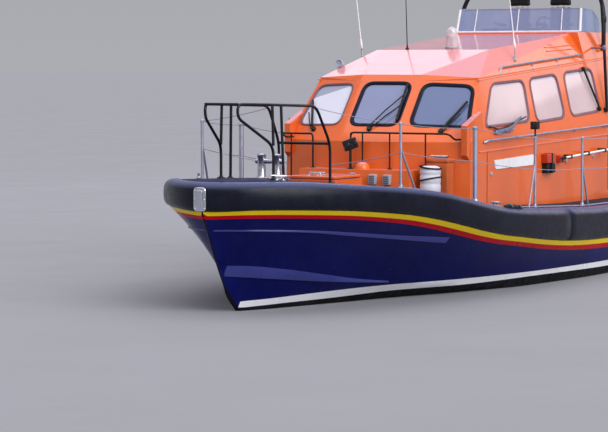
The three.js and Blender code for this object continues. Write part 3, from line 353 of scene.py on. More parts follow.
class Build:
    """Collects the surfaces of one piece."""

    def __init__(self):
        self.bm = bmesh.new()
        self.materials = []

    def index(self, material):
        if material not in self.materials:
            self.materials.append(material)
        return self.materials.index(material)

    def faces(self, places, faces, material):
        verts = [self.bm.verts.new(p) for p in places]
        index = self.index(material)
        made = []
        for face in faces:
            corners = []
            for k in face:
                if verts[k] not in corners:
                    corners.append(verts[k])
            if len(corners) > 2:
                new = self.bm.faces.new(corners)
                new.material_index = index
                made.append(new)
        return made

    def loft(self, rings, material, closed=True, caps=True):
        """A skin through rings with equal numbers of points. closed joins the ends of each ring."""
        n = len(rings[0])
        places = [p for ring in rings for p in ring]
        faces = []
        for r in range(len(rings) - 1):
            for k in range(n if closed else n - 1):
                a, b = r * n + k, r * n + (k + 1) % n
                faces.append((a, b, b + n, a + n))
        if caps and closed:
            faces.append(tuple(range(n))[::-1])
            faces.append(tuple(range(len(places) - n, len(places))))
        return self.faces(places, faces, material)

    def tube(self, points, radius, material, sides=12, bend=0.0, closed=False):
        points = [Vector(p) for p in points]
        if bend:
            points = softened(points, bend, closed=closed)
        count = len(points)
        radii = radius if isinstance(radius, (list, tuple)) else [radius] * count
        rings = []
        across = None
        for k, p in enumerate(points):
            before = points[k - 1] if (k or closed) else p
            after = points[(k + 1) % count] if (k + 1 < count or closed) else p
            ahead = (after - before).normalized()
            if across is None:
                across = ahead.orthogonal().normalized()
            across = (across - ahead * across.dot(ahead)).normalized()
            up = ahead.cross(across)
            rings.append([
                p + (across * math.cos(a) + up * math.sin(a)) * radii[k]
                for a in (2 * math.pi * j / sides for j in range(sides))
            ])
        if closed:
            # the last ring is joined to the first, turned to meet it
            first = rings[0]
            turn = min(range(sides), key=lambda t: (rings[-1][0] - first[t]).length)
            rings.append(first[turn:] + first[:turn])
        return self.loft(rings, material, caps=not closed)

    def turned(self, profile, place, axis, material, sides=28, caps=True):
        """A turned shape: profile is a list of (radius, distance along the axis)."""
        axis = Vector(axis).normalized()
        across = axis.orthogonal().normalized()
        up = axis.cross(across)
        rings = []
        for radius, along in profile:
            centre = Vector(place) + axis * along
            rings.append([
                centre + (across * math.cos(a) + up * math.sin(a)) * max(radius, 1e-5)
                for a in (2 * math.pi * j / sides for j in range(sides))
            ])
        return self.loft(rings, material, caps=caps)

    def block(self, corners, material, edge=0.006, segments=2):
        """A six-sided form with rounded edges. Corners are x fastest, then y, then z."""
        made = self.faces(corners, [
            (0, 2, 3, 1), (4, 5, 7, 6), (0, 1, 5, 4), (2, 6, 7, 3), (0, 4, 6, 2), (1, 3, 7, 5),
        ], material)
        if edge:
            edges = list(dict.fromkeys(e for face in made for e in face.edges))
            bmesh.ops.bevel(self.bm, geom=edges, offset=edge, segments=segments, profile=0.6,
                            affect="EDGES", clamp_overlap=True, material=-1)

    def box(self, s, y, z, material, edge=0.006, segments=2):
        """A block between two stations, two half-breadths and two heights."""
        lo = (BOW - max(s), min(y), min(z))
        hi = (BOW - min(s), max(y), max(z))
        self.block(box_corners(lo, hi), material, edge, segments)

    def plate(self, outline, thickness, material, edge=0.003):
        """A flat shape from a 3-D outline, with its back at the outline."""
        normal = Vector()
        for k, p in enumerate(outline):
            normal += p.cross(outline[(k + 1) % len(outline)])
        normal.normalize()
        front = [p + normal * thickness for p in outline]
        centre = sum(front, Vector()) / len(front)
        inner = [p + (centre - p).normalized() * edge for p in front]
        shoulder = [p - normal * edge for p in front]
        self.loft([list(outline), shoulder, inner], material)

    def mirror(self):
        """Adds the same shapes on the other side of the centreline."""
        everything = list(self.bm.faces) + list(self.bm.verts) + list(self.bm.edges)
        copy = bmesh.ops.duplicate(self.bm, geom=everything)
        verts = [g for g in copy["geom"] if isinstance(g, bmesh.types.BMVert)]
        faces = [g for g in copy["geom"] if isinstance(g, bmesh.types.BMFace)]
        for v in verts:
            v.co.y = -v.co.y
        bmesh.ops.reverse_faces(self.bm, faces=faces)

    def flip(self):
        """Turns the shapes into their images on the other side."""
        for v in self.bm.verts:
            v.co.y = -v.co.y

    def place(self, name, body="boat", slot=None, replaces=(), sharp=34.0, merge=1e-5, recalc=True):
        bmesh.ops.remove_doubles(self.bm, verts=self.bm.verts, dist=merge)
        if recalc:
            bmesh.ops.recalc_face_normals(self.bm, faces=self.bm.faces)
        limit = math.radians(sharp)
        for face in self.bm.faces:
            face.smooth = True
        for edge in self.bm.edges:
            edge.smooth = not (edge.is_manifold and edge.calc_face_angle(0.0) > limit)
        mesh = bpy.data.meshes.new(name)
        self.bm.to_mesh(mesh)
        self.bm.free()
        for material in self.materials:
            mesh.materials.append(material)
        piece = bpy.data.objects.new(name, mesh)
        bpy.context.scene.collection.objects.link(piece)
        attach(piece, body)
        if replaces:
            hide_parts(*replaces)
        return piece


def both_sides(name, fill, slot, replaces=(), **options):
    """A piece for each side. fill adds the port side's shapes to a Build."""
    for side in ("port", "starboard"):
        build = Build()
        fill(build)
        if side == "starboard":
            build.flip()
        nodes = tuple(f"{node}_{side}" for node in replaces)
        build.place(f"{name}_{side}", slot=slot, replaces=nodes, **options)


def smooth_group(degrees):
    """A modifier that shades a mesh smooth, except where its faces meet at more than an angle."""
    group = bpy.data.node_groups.new("smooth_by_angle", "GeometryNodeTree")
    group.interface.new_socket("Geometry", in_out="INPUT", socket_type="NodeSocketGeometry")
    group.interface.new_socket("Geometry", in_out="OUTPUT", socket_type="NodeSocketGeometry")
    nodes, link = group.nodes, group.links.new
    start, end = nodes.new("NodeGroupInput"), nodes.new("NodeGroupOutput")
    angle = nodes.new("GeometryNodeInputMeshEdgeAngle")
    compare = nodes.new("FunctionNodeCompare")
    compare.data_type = "FLOAT"
    compare.operation = "LESS_EQUAL"
    compare.inputs["B"].default_value = math.radians(degrees)
    link(angle.outputs["Unsigned Angle"], compare.inputs["A"])
    edges = nodes.new("GeometryNodeSetShadeSmooth")
    edges.domain = "EDGE"
    faces = nodes.new("GeometryNodeSetShadeSmooth")
    faces.domain = "FACE"
    link(start.outputs[0], edges.inputs["Geometry"])
    link(compare.outputs["Result"], edges.inputs["Shade Smooth"])
    link(edges.outputs[0], faces.inputs["Geometry"])
    faces.inputs["Shade Smooth"].default_value = True
    link(faces.outputs[0], end.inputs[0])
    return group


SMOOTH = smooth_group(32.0)


def dress(node, material, edge=0.012, limit=38.0, segments=3):
    """Rounds the edges of a CAD node and gives it a material."""
    piece = NODES[node]
    if piece.material_slots:
        for each in piece.material_slots:
            each.material = material
    else:
        piece.data.materials.append(material)
    weld = piece.modifiers.new("weld", "WELD")
    weld.merge_threshold = 0.0004
    if edge:
        bevel = piece.modifiers.new("edges", "BEVEL")
        bevel.width = edge
        bevel.segments = segments
        bevel.limit_method = "ANGLE"
        bevel.angle_limit = math.radians(limit)
        bevel.use_clamp_overlap = True
        bevel.miter_outer = "MITER_ARC"
    smooth = piece.modifiers.new("smooth", "NODES")
    smooth.node_group = SMOOTH
    if edge:
        normals = piece.modifiers.new("normals", "WEIGHTED_NORMAL")
        normals.keep_sharp = True
    return piece


def cut(piece, cutter):
    """Cuts one mesh with another, which is then gone."""
    modifier = piece.modifiers.new("cut", "BOOLEAN")
    modifier.operation = "DIFFERENCE"
    modifier.solver = "EXACT"
    modifier.object = cutter
    graph = bpy.context.evaluated_depsgraph_get()
    mesh = bpy.data.meshes.new_from_object(piece.evaluated_get(graph))
    piece.modifiers.remove(modifier)
    piece.data = mesh
    bpy.data.objects.remove(cutter)


def cutter(build):
    bmesh.ops.recalc_face_normals(build.bm, faces=build.bm.faces)
    mesh = bpy.data.meshes.new("cutter")
    build.bm.to_mesh(mesh)
    build.bm.free()
    for material in build.materials:
        mesh.materials.append(material)
    tool = bpy.data.objects.new("cutter", mesh)
    bpy.context.scene.collection.objects.link(tool)
    return tool


# Lines of the hull: (station, height or half-breadth)
SHEER = curve([
    (0, 1.7), (0.67, 1.697), (1.39, 1.649), (2.3, 1.569), (3.02, 1.48), (3.43, 1.401), (3.87, 1.313),
    (4.36, 1.227), (4.89, 1.177), (5.48, 1.145), (6.49, 1.1), (7.57, 1.061), (13.6, 1.04),
])
FENDER_FOOT = curve([
    (0, 1.317), (0.4, 1.342), (1.29, 1.311), (2.34, 1.214), (2.88, 1.127), (3.49, 1.001), (3.93, 0.908),
    (4.42, 0.826), (4.97, 0.76), (5.57, 0.69), (6.24, 0.631), (6.94, 0.591), (7.96, 0.568), (13.6, 0.55),
])
KEEL = curve([
    (0.09, 1.305), (0.264, 0.964), (0.447, 0.595), (0.679, 0.23), (0.917, 0.003), (1.3, -0.28),
    (2.0, -0.52), (3.0, -0.66), (4.2, -0.74), (12.0, -0.74), (13.6, -0.7),
])
CHINE_Z = curve([
    (0.09, 1.306), (0.264, 0.966), (0.447, 0.6), (0.54, 0.55), (1.207, 0.473), (1.826, 0.388),
    (2.501, 0.305),
    (3.2, 0.24), (4.2, 0.12), (5.2, 0.03), (6.5, -0.06), (8.0, -0.12), (13.6, -0.15),
])
CHINE_Y = curve([
    (0.09, 0.012), (0.54, 0.014), (0.727, 0.14), (1.207, 0.45), (1.826, 0.685), (2.501, 0.905), (3.2, 1.12),
    (4.2, 1.42), (5.2, 1.64), (6.5, 1.83), (8.0, 1.94), (13.6, 1.96),
])
BOOT_FOOT = curve([
    (0.85, 0.042), (1.46, 0.064), (2.34, 0.083), (3.29, 0.115), (4.54, 0.121), (6.1, 0.138), (8.4, 0.121),
    (13.4, 0.115),
])
BOOT_HEAD = curve([(0.82, 0.127), (3.2, 0.207), (6.0, 0.21), (13.4, 0.2)])
YELLOW_WIDTH = curve([(0.09, 0.055), (1.2, 0.058), (3.2, 0.06), (5, 0.063), (7.3, 0.07), (13.4, 0.075)])
RED_WIDTH = curve([(0.09, 0.049), (1.2, 0.049), (3.2, 0.058), (5, 0.06), (7.3, 0.071), (13.4, 0.073)])
BOOT_START = 0.86
STEM_HALF = 0.012
KEEL_HALF = 0.04
DECK_CAMBER = 0.05
SOLE = 0.75


def outer_half(s):
    t = max(0.0, 1 - (s - FENDER_TIP) / (ENTRY - FENDER_TIP))
    return HALF_BEAM * (1 - t ** 2.2) ** 0.56


def plan_points():
    """Points round the fender's outer face in plan, with their inward directions."""
    stations = [FENDER_TIP + 3.9 * (k / 60) ** 2.6 for k in range(1, 61)]
    stations += [stations[-1] + (STERN - 0.1 - stations[-1]) * k / 44 for k in range(1, 45)]
    points = [(FENDER_TIP, 0.0, 1.0, 0.0)]
    for s in stations:
        step = min(0.004, (s - FENDER_TIP) * 0.5)
        slope = (outer_half(s + step) - outer_half(s - step)) / (2 * step)
        norm = math.hypot(1, slope)
        points.append((s, outer_half(s), slope / norm, -1 / norm))
    return points


PLAN = plan_points()


def inset_plan(inset):
    rows = sorted((s + ns * inset, max(y + ny * inset, 0.0)) for s, y, ns, ny in PLAN)
    kept = [rows[0]]
    for row in rows[1:]:
        if row[0] - kept[-1][0] > 0.004:
            kept.append(row)
    return curve(kept)


DECK_EDGE = inset_plan(DECK_INSET)
TOPSIDE_EDGE = inset_plan(TOPSIDE_INSET)


def hull_half(s, z):
    """Half-breadth of the hull at a station and height, below the fender."""
    keel, chine, foot = KEEL(s), max(CHINE_Z(s), KEEL(s) + 0.001), FENDER_FOOT(s)
    y_chine = max(CHINE_Y(s), STEM_HALF)
    y_keel = min(KEEL_HALF, max(STEM_HALF, y_chine * 0.4))
    y_foot = max(TOPSIDE_EDGE(s), STEM_HALF)
    if z <= chine:
        t = max(0.0, (z - keel) / max(chine - keel, 1e-4))
        return y_keel + (y_chine - y_keel) * t
    t = min(1.0, (z - chine) / max(foot - chine, 1e-4))
    return y_chine + (y_foot - y_chine) * (0.68 * t + 0.32 * t * t)


def hull_levels(s):
    """Heights of the lines along the hull at a station, and the paint above each."""
    keel, chine, foot = KEEL(s), max(CHINE_Z(s), KEEL(s) + 0.001), FENDER_FOOT(s)
    boot_foot, boot_head = BOOT_FOOT(s), BOOT_HEAD(s)
    if s < BOOT_START:
        boot_foot = boot_head = keel
    yellow = foot - YELLOW_WIDTH(s)
    red = yellow - RED_WIDTH(s)
    below = [keel + (boot_foot - keel) * k / 4 for k in range(4)]
    above = [boot_head + (red - boot_head) * (k / 11) for k in range(11)]
    levels = [(z, BOTTOM) for z in below] + [(boot_foot, WHITE_PAINT)] + [(z, NAVY) for z in above]
    levels += [(red, RED), (yellow, YELLOW), (foot, NAVY)]
    levels = [(max(z, keel), paint) for z, paint in levels]
    bottom = [(min(z, chine), paint) for z, paint in levels]
    topside = [(max(z, chine), paint) for z, paint in levels]
    return bottom + topside


def hull_stations(start, end):
    table = [0.092, 0.13, 0.18, 0.24, 0.31, 0.39, 0.48, 0.54, 0.6, 0.66, 0.72, 0.79, BOOT_START - 0.001,
             BOOT_START + 0.001, 0.95]
    s = 1.05
    while s < 6.5:
        table.append(round(s, 3))
        s += 0.12
    while s < STERN:
        table.append(round(s, 3))
        s += 0.3
    return [start] + [s for s in table if start + 0.02 < s < end - 0.02] + [end]


def hull_form(start, end, to_deck):
    """The painted outside of the hull between two stations, closed on top and at its ends."""
    build = Build()
    rows = []
    for s in hull_stations(start, end):
        squeeze = 1 - 0.03 * max(0.0, (s - 13.3) / 0.1)
        row = [(hull_half(s, z) * squeeze, z, paint) for z, paint in hull_levels(s)]
        y_top = max(DECK_EDGE(s), STEM_HALF) * squeeze
        foot = FENDER_FOOT(s)
        y_top = min(y_top, row[-1][0])
        if to_deck:
            edge = SHEER(s)
            row.append((y_top, foot + 0.004, DECK))
            row.append((y_top, edge, DECK))
            row += [(y_top * (1 - k / 8), edge + DECK_CAMBER * math.sin(k / 8 * math.pi / 2), DECK)
                    for k in range(1, 9)]
        else:
            seam = max(foot + 0.007, SOLE)
            row.append((y_top, foot + 0.004, DECK))
            row.append((y_top, seam, DECK))
            row.append((0.0, seam, DECK))
        rows.append((s, row))
    count = len(rows[0][1])
    places, faces, paints = [], [], []
    for s, row in rows:
        places += [at(s, y, z) for y, z, _ in row]
        places += [at(s, -y, z) for y, z, _ in row]
    for r in range(len(rows) - 1):
        for side in (0, 1):
            base = r * 2 * count + side * count
            for k in range(count - 1):
                quad = (base + k, base + 2 * count + k, base + 2 * count + k + 1, base + k + 1)
                faces.append(quad if side == 0 else quad[::-1])
                paints.append(rows[r][1][k][2])
        base = r * 2 * count
        faces.append((base, base + count, base + 3 * count, base + 2 * count))
        paints.append(BOTTOM)
    verts = [build.bm.verts.new(p) for p in places]
    for face, paint in zip(faces, paints):
        made = build.bm.faces.new([verts[k] for k in face])
        made.material_index = build.index(paint)
    for r in (0, len(rows) - 1):
        base = r * 2 * count
        ring = list(range(base, base + count)) + list(range(base + 2 * count - 1, base + count - 1, -1))
        cap = build.bm.faces.new([verts[k] for k in (ring if r else ring[::-1])])
        cap.material_index = build.index(NAVY)
    bmesh.ops.remove_doubles(build.bm, verts=build.bm.verts, dist=2e-4)
    bmesh.ops.dissolve_degenerate(build.bm, edges=build.bm.edges, dist=1e-5)
    caps = [f for f in build.bm.faces if len(f.verts) > 4]
    bmesh.ops.triangulate(build.bm, faces=caps)
    return build


ENGINE_WELL = dict(s=(10.72, 12.15), half=1.08, floor=-0.13)
JET_Y = 0.52
JET_Z = -0.23
DUCT = 0.19


def duct_cutter(y):
    build = Build()
    rings = []
    for s, z, ry, rz, slant in ((11.2, -1.08, 0.23, 0.19, 0.06), (11.75, -0.64, 0.215, 0.2, 0.06),
                                (12.25, JET_Z - 0.07, 0.2, 0.195, 0), (12.5, JET_Z, DUCT, DUCT, 0),
                                (13.1, JET_Z, DUCT, DUCT, 0)):
        rings.append([
            at(s + slant * math.sin(a), y + ry * math.cos(a), z + rz * math.sin(a))
            for a in (2 * math.pi * k / 32 for k in range(32))
        ])
    build.loft(rings, BOTTOM)
    return cutter(build)


def box_cutter(s, y, z, material):
    build = Build()
    build.box(s, y, z, material, edge=0)
    return cutter(build)


def make_hull():
    hull = hull_form(0.092, TRANSOM, False).place("hull_moulding", slot="hull_navy", replaces=("hull",),
                                                  sharp=24)
    half = ENGINE_WELL["half"]
    cut(hull, box_cutter(ENGINE_WELL["s"], (-half, half), (ENGINE_WELL["floor"], 2), GREY))
    for y in (JET_Y, -JET_Y):
        cut(hull, duct_cutter(y))
    stern = hull_form(TRANSOM + 0.0005, STERN, True).place(
        "stern_overhang", slot="hull_navy", replaces=("stern_platform",), sharp=24)
    cut(stern, box_cutter((TRANSOM - 0.01, 14), (-1.18, 1.18), (-2, 0.19), NAVY))


# Fender
FENDER_SECTION = [  # height fraction, inset
    (0, 0.2), (0, 0.1), (0.01, 0.075), (0.05, 0.045), (0.12, 0.022), (0.22, 0.008), (0.36, 0.001),
    (0.5, 0.0),
    (0.64, 0.003), (0.76, 0.012), (0.85, 0.028), (0.92, 0.052), (0.97, 0.085), (0.995, 0.12), (1, 0.15),
    (1, 0.2),
]


def fender_ring(s, y, ns, ny, shrink=1.0, drop=0.0):
    foot = FENDER_FOOT(s)
    height = SHEER(s) - 0.004 - foot
    ring = []
    for rise, inset in FENDER_SECTION:
        depth = DECK_INSET - (DECK_INSET - inset - drop) * shrink if inset < DECK_INSET else DECK_INSET
        z = foot + height * (0.5 + (rise - 0.5) * shrink)
        ring.append(at(s + ns * depth, y + ny * depth, z))
    return ring


FENDER_JOINT = 6.27
QUARTER = dict(station=13.3, y=1.97, radius=0.3)


def make_fenders():
    bow = [p for p in PLAN if p[0] < FENDER_JOINT - 0.03]
    end = (FENDER_JOINT - 0.006, HALF_BEAM, 0.0, -1.0)
    half = bow + [end]
    build = Build()
    port = [fender_ring(*p) for p in half] + [fender_ring(FENDER_JOINT - 0.001, HALF_BEAM, 0, -1, 0.985)]
    starboard = [[Vector((p.x, -p.y, p.z)) for p in ring] for ring in port[1:]]
    build.loft(starboard[::-1] + port, RUBBER)
    build.place("fender_belt_bow", slot="fender_rubber", replaces=("fender_bow",), sharp=40)
    for name, side in (("port", 1), ("starboard", -1)):
        build = Build()
        path = [(s, y, ns, ny) for s, y, ns, ny in PLAN
                if FENDER_JOINT + 0.03 < s < QUARTER["station"] - 0.05]
        path = [(FENDER_JOINT + 0.006, HALF_BEAM, 0.0, -1.0), *path,
                (QUARTER["station"], HALF_BEAM, 0.0, -1.0)]
        for degrees in range(10, 91, 10):
            a = math.radians(degrees)
            path.append((QUARTER["station"] + QUARTER["radius"] * math.sin(a),
                         QUARTER["y"] + QUARTER["radius"] * math.cos(a), -math.sin(a), -math.cos(a)))
        rings = [fender_ring(FENDER_JOINT + 0.001, HALF_BEAM, 0, -1, 0.985)]
        rings += [fender_ring(*p) for p in path]
        last = STERN + DECK_INSET
        rings += [fender_ring(last, 1.42, -1, 0), fender_ring(last, 1.385, -1, 0, 0.93),
                  fender_ring(last, 1.36, -1, 0, 0.75)]
        build.loft([[Vector((p.x, side * p.y, p.z)) for p in ring] for ring in rings], RUBBER)
        build.place(f"fender_belt_{name}", slot="fender_rubber", replaces=(f"fender_{name}",), sharp=40)


def on_deck(s, y, lift=0.0):
    """A place on the weather deck."""
    across = min(1.0, abs(y) / DECK_EDGE(s))
    return at(s, y, SHEER(s) + DECK_CAMBER * min(1.0, DECK_EDGE(s) / 1.2) * (1 - across) + lift)


def make_stem_plate():
    build = Build()
    outline = []
    half, low, high, corner = 0.092, 1.335, 1.637, 0.045
    for cy, cz, start in ((half - corner, high - corner, 0), (-half + corner, high - corner, 90),
                          (-half + corner, low + corner, 180), (half - corner, low + corner, 270)):
        for step in range(7):
            a = math.radians(start + step * 15)
            outline.append(at(FENDER_TIP - 0.0003, cy + corner * math.cos(a), cz + corner * math.sin(a)))
    build.plate(outline, 0.012, STEEL, edge=0.006)
    face = FENDER_TIP - 0.012
    build.turned([(0.062, 0), (0.062, 0.006), (0.05, 0.014), (0.03, 0.016), (0.03, 0.02), (0.0, 0.022)],
                 at(face, 0, 1.425), (1, 0, 0), STEEL)
    build.box((face - 0.022, face), (-0.05, 0.05), (1.43, 1.6), STEEL, edge=0.01, segments=3)
    for y in (-0.07, 0.07):
        for z in (1.37, 1.485, 1.6):
            build.turned([(0.011, 0), (0.011, 0.004), (0.007, 0.008), (0, 0.009)], at(face, y, z),
                         (1, 0, 0), STEEL, sides=12)
    build.place("stem_plate", slot="stainless", replaces=("stem_fitting",))


# Wheelhouse outlines
SIDE_HALF = 1.49
SIDE_LEAN = 0.2333
KNUCKLE = dict(station=4.94, z=2.089, rise=0.0276)
EAVE = dict(station=5.035, z=2.925, rise=0.0638)
AFT_WALL = 10.6


def side_y(z):
    return SIDE_HALF - max(0.0, z - 2.13) * SIDE_LEAN


def front_fold(z):
    rise = z - 2.32
    return 4.511 + rise * 0.8, 0.47 + rise * 0.015


def front_corner(z):
    side = side_y(z)
    return 4.511 + (side - 0.47) * 0.299 + (z - 2.32) * 0.7955, side


def on_side(s, z):
    return at(s, side_y(z), z)


def on_front(y, z):
    return at(front_fold(z)[0], y, z)


def on_corner(part, z):
    (s0, y0), (s1, y1) = front_fold(z), front_corner(z)
    return at(s0 + (s1 - s0) * part, y0 + (y1 - y0) * part, z)


def knuckle_z(s):
    return KNUCKLE["z"] + (s - KNUCKLE["station"]) * KNUCKLE["rise"]


def eave_z(s):
    return EAVE["z"] + (s - EAVE["station"]) * EAVE["rise"]


CENTRE_PANE = [on_front(-0.385, 2.305), on_front(0.385, 2.305), on_front(0.375, 2.895),
               on_front(-0.375, 2.895)]
CORNER_PANE = [on_corner(0.1, 2.305), on_corner(0.92, 2.285), on_corner(0.92, 2.855), on_corner(0.1, 2.885)]
SIDE_PANES = [
    [on_side(a, za), on_side(b, zb), on_side(d, zd), on_side(c, zc)]
    for a, b, c, d, za, zb, zc, zd in (
        (5.13, 6.61, 5.6, 6.67, 2.28, 2.335, 2.88, 2.92),
        (6.85, 7.86, 6.87, 7.84, 2.31, 2.36, 2.94, 3.0),
        (8.1, 9.2, 8.12, 9.18, 2.37, 2.43, 3.02, 3.08),
    )
]
PANE_CORNER = 0.15


def pane_ring(corners, grow, lift, steps=8):
    """A rounded outline round a pane, grown outwards and lifted off the wall."""
    normal = Vector()
    for k, p in enumerate(corners):
        normal += p.cross(corners[(k + 1) % 4])
    normal.normalize()
    grown = []
    for k, p in enumerate(corners):
        before = (p - corners[k - 1]).normalized()
        after = (corners[(k + 1) % 4] - p).normalized()
        turn = before.cross(after).dot(normal)
        grown.append(p + (before - after) * grow / max(turn, 0.2) + normal * lift)
    ring = []
    radius = PANE_CORNER + grow
    for k, p in enumerate(grown):
        before = (grown[k - 1] - p).normalized()
        after = (grown[(k + 1) % 4] - p).normalized()
        a, b = p + before * radius, p + after * radius
        for j in range(steps + 1):
            t = j / steps
            ring.append(a * (1 - t) ** 2 + p * 2 * t * (1 - t) + b * t ** 2)
    return ring


def flip(places):
    return [Vector((p.x, -p.y, p.z)) for p in places][::-1]


def frame_round(build, corners, width, material, inside=0.02, proud=0.012):
    """A moulded seal round a window, from inside its opening to the wall."""
    profile = [(-inside, -0.02), (-inside, 0.0), (-inside * 0.6, proud * 0.8), (0.0, proud),
               (width * 0.75, proud),
               (width, proud * 0.4), (width, -0.004)]
    build.loft([pane_ring(corners, grow, lift) for grow, lift in profile], material, caps=False)


def make_windows():
    for name, corners, width, material, glass in (
        ("pane_front_centre", CENTRE_PANE, 0.026, SEAL, GLASS_PAINTED_MID_REFLECTION),
        ("pane_front_port", CORNER_PANE, 0.026, SEAL, GLASS_PAINTED_DIM_REFLECTION),
        ("pane_front_starboard", flip(CORNER_PANE), 0.016, TRIM, GLASS_PAINTED_GLARE),
    ):
        dress(name, glass, edge=0)
        build = Build()
        frame_round(build, corners, width, material, inside=0.03 if material is SEAL else 0.02)
        build.place(f"seal_{name}", slot="black_tube", recalc=False)
    for k, corners in enumerate(SIDE_PANES, 1):
        for side, outline in (("port", corners), ("starboard", flip(corners))):
            dress(f"pane_side_{k}_{side}", SIDE_GLASS_PAINTED_REFLECTION, edge=0)
            build = Build()
            frame_round(build, outline, 0.024, TRIM, inside=0.018)
            build.place(f"seal_pane_side_{k}_{side}", slot="black_tube", recalc=False)


def make_house():
    for node in ("wheelhouse_lower", "wheelhouse_upper", "flybridge"):
        dress(node, ORANGE, edge=0.016)
    dress("wheelhouse_roof", ORANGE, edge=0.014, limit=6.0)
    dress("aft_bulkhead", ORANGE, edge=0.008)
    dress("wheelhouse_door", ORANGE, edge=0.006)
    dress("door_pane", SIDE_GLASS_PAINTED_REFLECTION, edge=0)
    dress("foredeck_trunk", ORANGE, edge=0.03, segments=4)
    dress("foredeck_hatch", ORANGE, edge=0.012)
    dress("engine_hatch", DECK, edge=0.01)
    dress("deck", DECK, edge=0.012)
    dress("helm_console", GREY, edge=0.02)
    dress("flybridge_windscreen", SCREEN_GLASS, edge=0)
    for side in ("port", "starboard"):
        dress(f"jet_housing_{side}", CAST, edge=0.003)
        dress(f"impeller_{side}", CAST, edge=0.002)
        dress(f"jet_nozzle_{side}", CAST, edge=0.003)
        dress(f"reverse_bucket_{side}", CAST, edge=0.003)


def make_pulpit():
    build = Build()
    knee, brow = (1.15, 0.4, 2.13), (1.15, 0.385, 2.655)
    nose, step = (0.54, 0.245, 2.67), (2.6, 0.4, 2.11)
    half = [
        [(1.15, 0.4, 1.6), knee, (0.54, 0.245, 2.5), nose, brow, (2.28, 0.37, 2.618), step,
         (2.6, 0.4, 1.5)],
        [knee, brow],
        [(1.39, 0.41, 1.6), (1.37, 0.382, 2.648)],
    ]
    for line in half:
        build.tube([at(*p) for p in line], TUBE, BLACK_TUBE, bend=0.13)
    for s, y in ((1.15, 0.4), (1.39, 0.41), (2.6, 0.4)):
        build.turned([(0.055, -0.01), (0.055, 0.008), (0.03, 0.016), (0.024, 0.03)], on_deck(s, y),
                     (0, 0, 1), BLACK_TUBE,
                     sides=20)
    build.mirror()
    for s, y, z in (nose, step):
        build.tube([at(s, -y, z), at(s, y, z)], TUBE, BLACK_TUBE)
    build.place("pulpit_tubes", slot="black_tube", replaces=("bow_pulpit",))


STANCHIONS = [  # station, height, radius, foot of the brace
    (2.46, 0.85, 0.02, 2.72), (3.98, 1.02, 0.034, 0), (5.63, 0.99, 0.02, 5.44), (7.25, 1.01, 0.02, 7.47),
    (8.95, 1.01, 0.02, 9.17), (10.65, 1.01, 0.02, 10.87), (12.2, 1.01, 0.02, 11.98),
]
RAIL_INSET = 0.075


def deck_place(s, inboard, lift):
    return at(s, DECK_EDGE(s) - inboard, SHEER(s) + lift)


STERN_POSTS = ((12.42, 1.96), (13.28, 1.88))  # station, half-breadth
STERN_RAIL_END = 13.28
STERN_RAIL_TOP = 2.05
STERN_RAIL_MID = 1.56


def make_guard_rails():
    for name, side in (("port", 1), ("starboard", -1)):
        build = Build()
        strip = [deck_place(2.4 + k * 0.25, RAIL_INSET, 0.008) for k in range(40)]
        strip.append(deck_place(12.3, RAIL_INSET, 0.008))
        build.tube(strip, 0.013, RAIL_STEEL, sides=8)
        for s, height, radius, foot in STANCHIONS:
            build.tube([deck_place(s, RAIL_INSET, 0.0), deck_place(s, RAIL_INSET, height)], radius,
                       RAIL_STEEL)
            build.turned([(radius * 2.4, 0), (radius * 2.4, 0.008), (radius * 1.6, 0.014),
                          (radius * 1.4, 0.05)],
                         deck_place(s, RAIL_INSET, 0.0), (0, 0, 1), RAIL_STEEL, sides=16)
            build.turned([(radius * 1.25, -0.03), (radius * 1.35, 0), (radius * 0.8, 0.014), (0, 0.018)],
                         deck_place(s, RAIL_INSET, height), (0, 0, 1), RAIL_STEEL, sides=16)
            if foot:
                build.tube([deck_place(foot, RAIL_INSET, 0.0), deck_place(s, RAIL_INSET, height * 0.62)],
                           0.015, RAIL_STEEL, sides=10)
                build.turned([(0.03, 0), (0.03, 0.007), (0.014, 0.012)], deck_place(foot, RAIL_INSET, 0.0),
                             (0, 0, 1), RAIL_STEEL, sides=14)
        if side < 0:
            build.flip()
        build.place(f"stanchions_{name}", slot="stainless", replaces=(f"guard_rail_{name}",))
        build = Build()
        tops = [at(2.3, 0.372, 2.59)]
        tops += [deck_place(s, RAIL_INSET, h - 0.012) for s, h, _, _ in STANCHIONS]
        tops.append(at(*STERN_POSTS[0], STERN_RAIL_TOP - 0.02))
        mids = [at(2.6, 0.4, 1.82)]
        mids += [deck_place(s, RAIL_INSET, h * 0.55) for s, h, _, _ in STANCHIONS]
        mids.append(at(*STERN_POSTS[0], STERN_RAIL_MID))
        for line in (tops, mids):
            for a, b in zip(line, line[1:]):
                sag = [a.lerp(b, t) - Vector((0, 0, 0.02 * 4 * t * (1 - t)))
                       for t in (k / 8 for k in range(9))]
                build.tube(sag, 0.005, RAIL_STEEL, sides=8)
        if side < 0:
            build.flip()
        build.place(f"lifelines_{name}", slot="stainless")


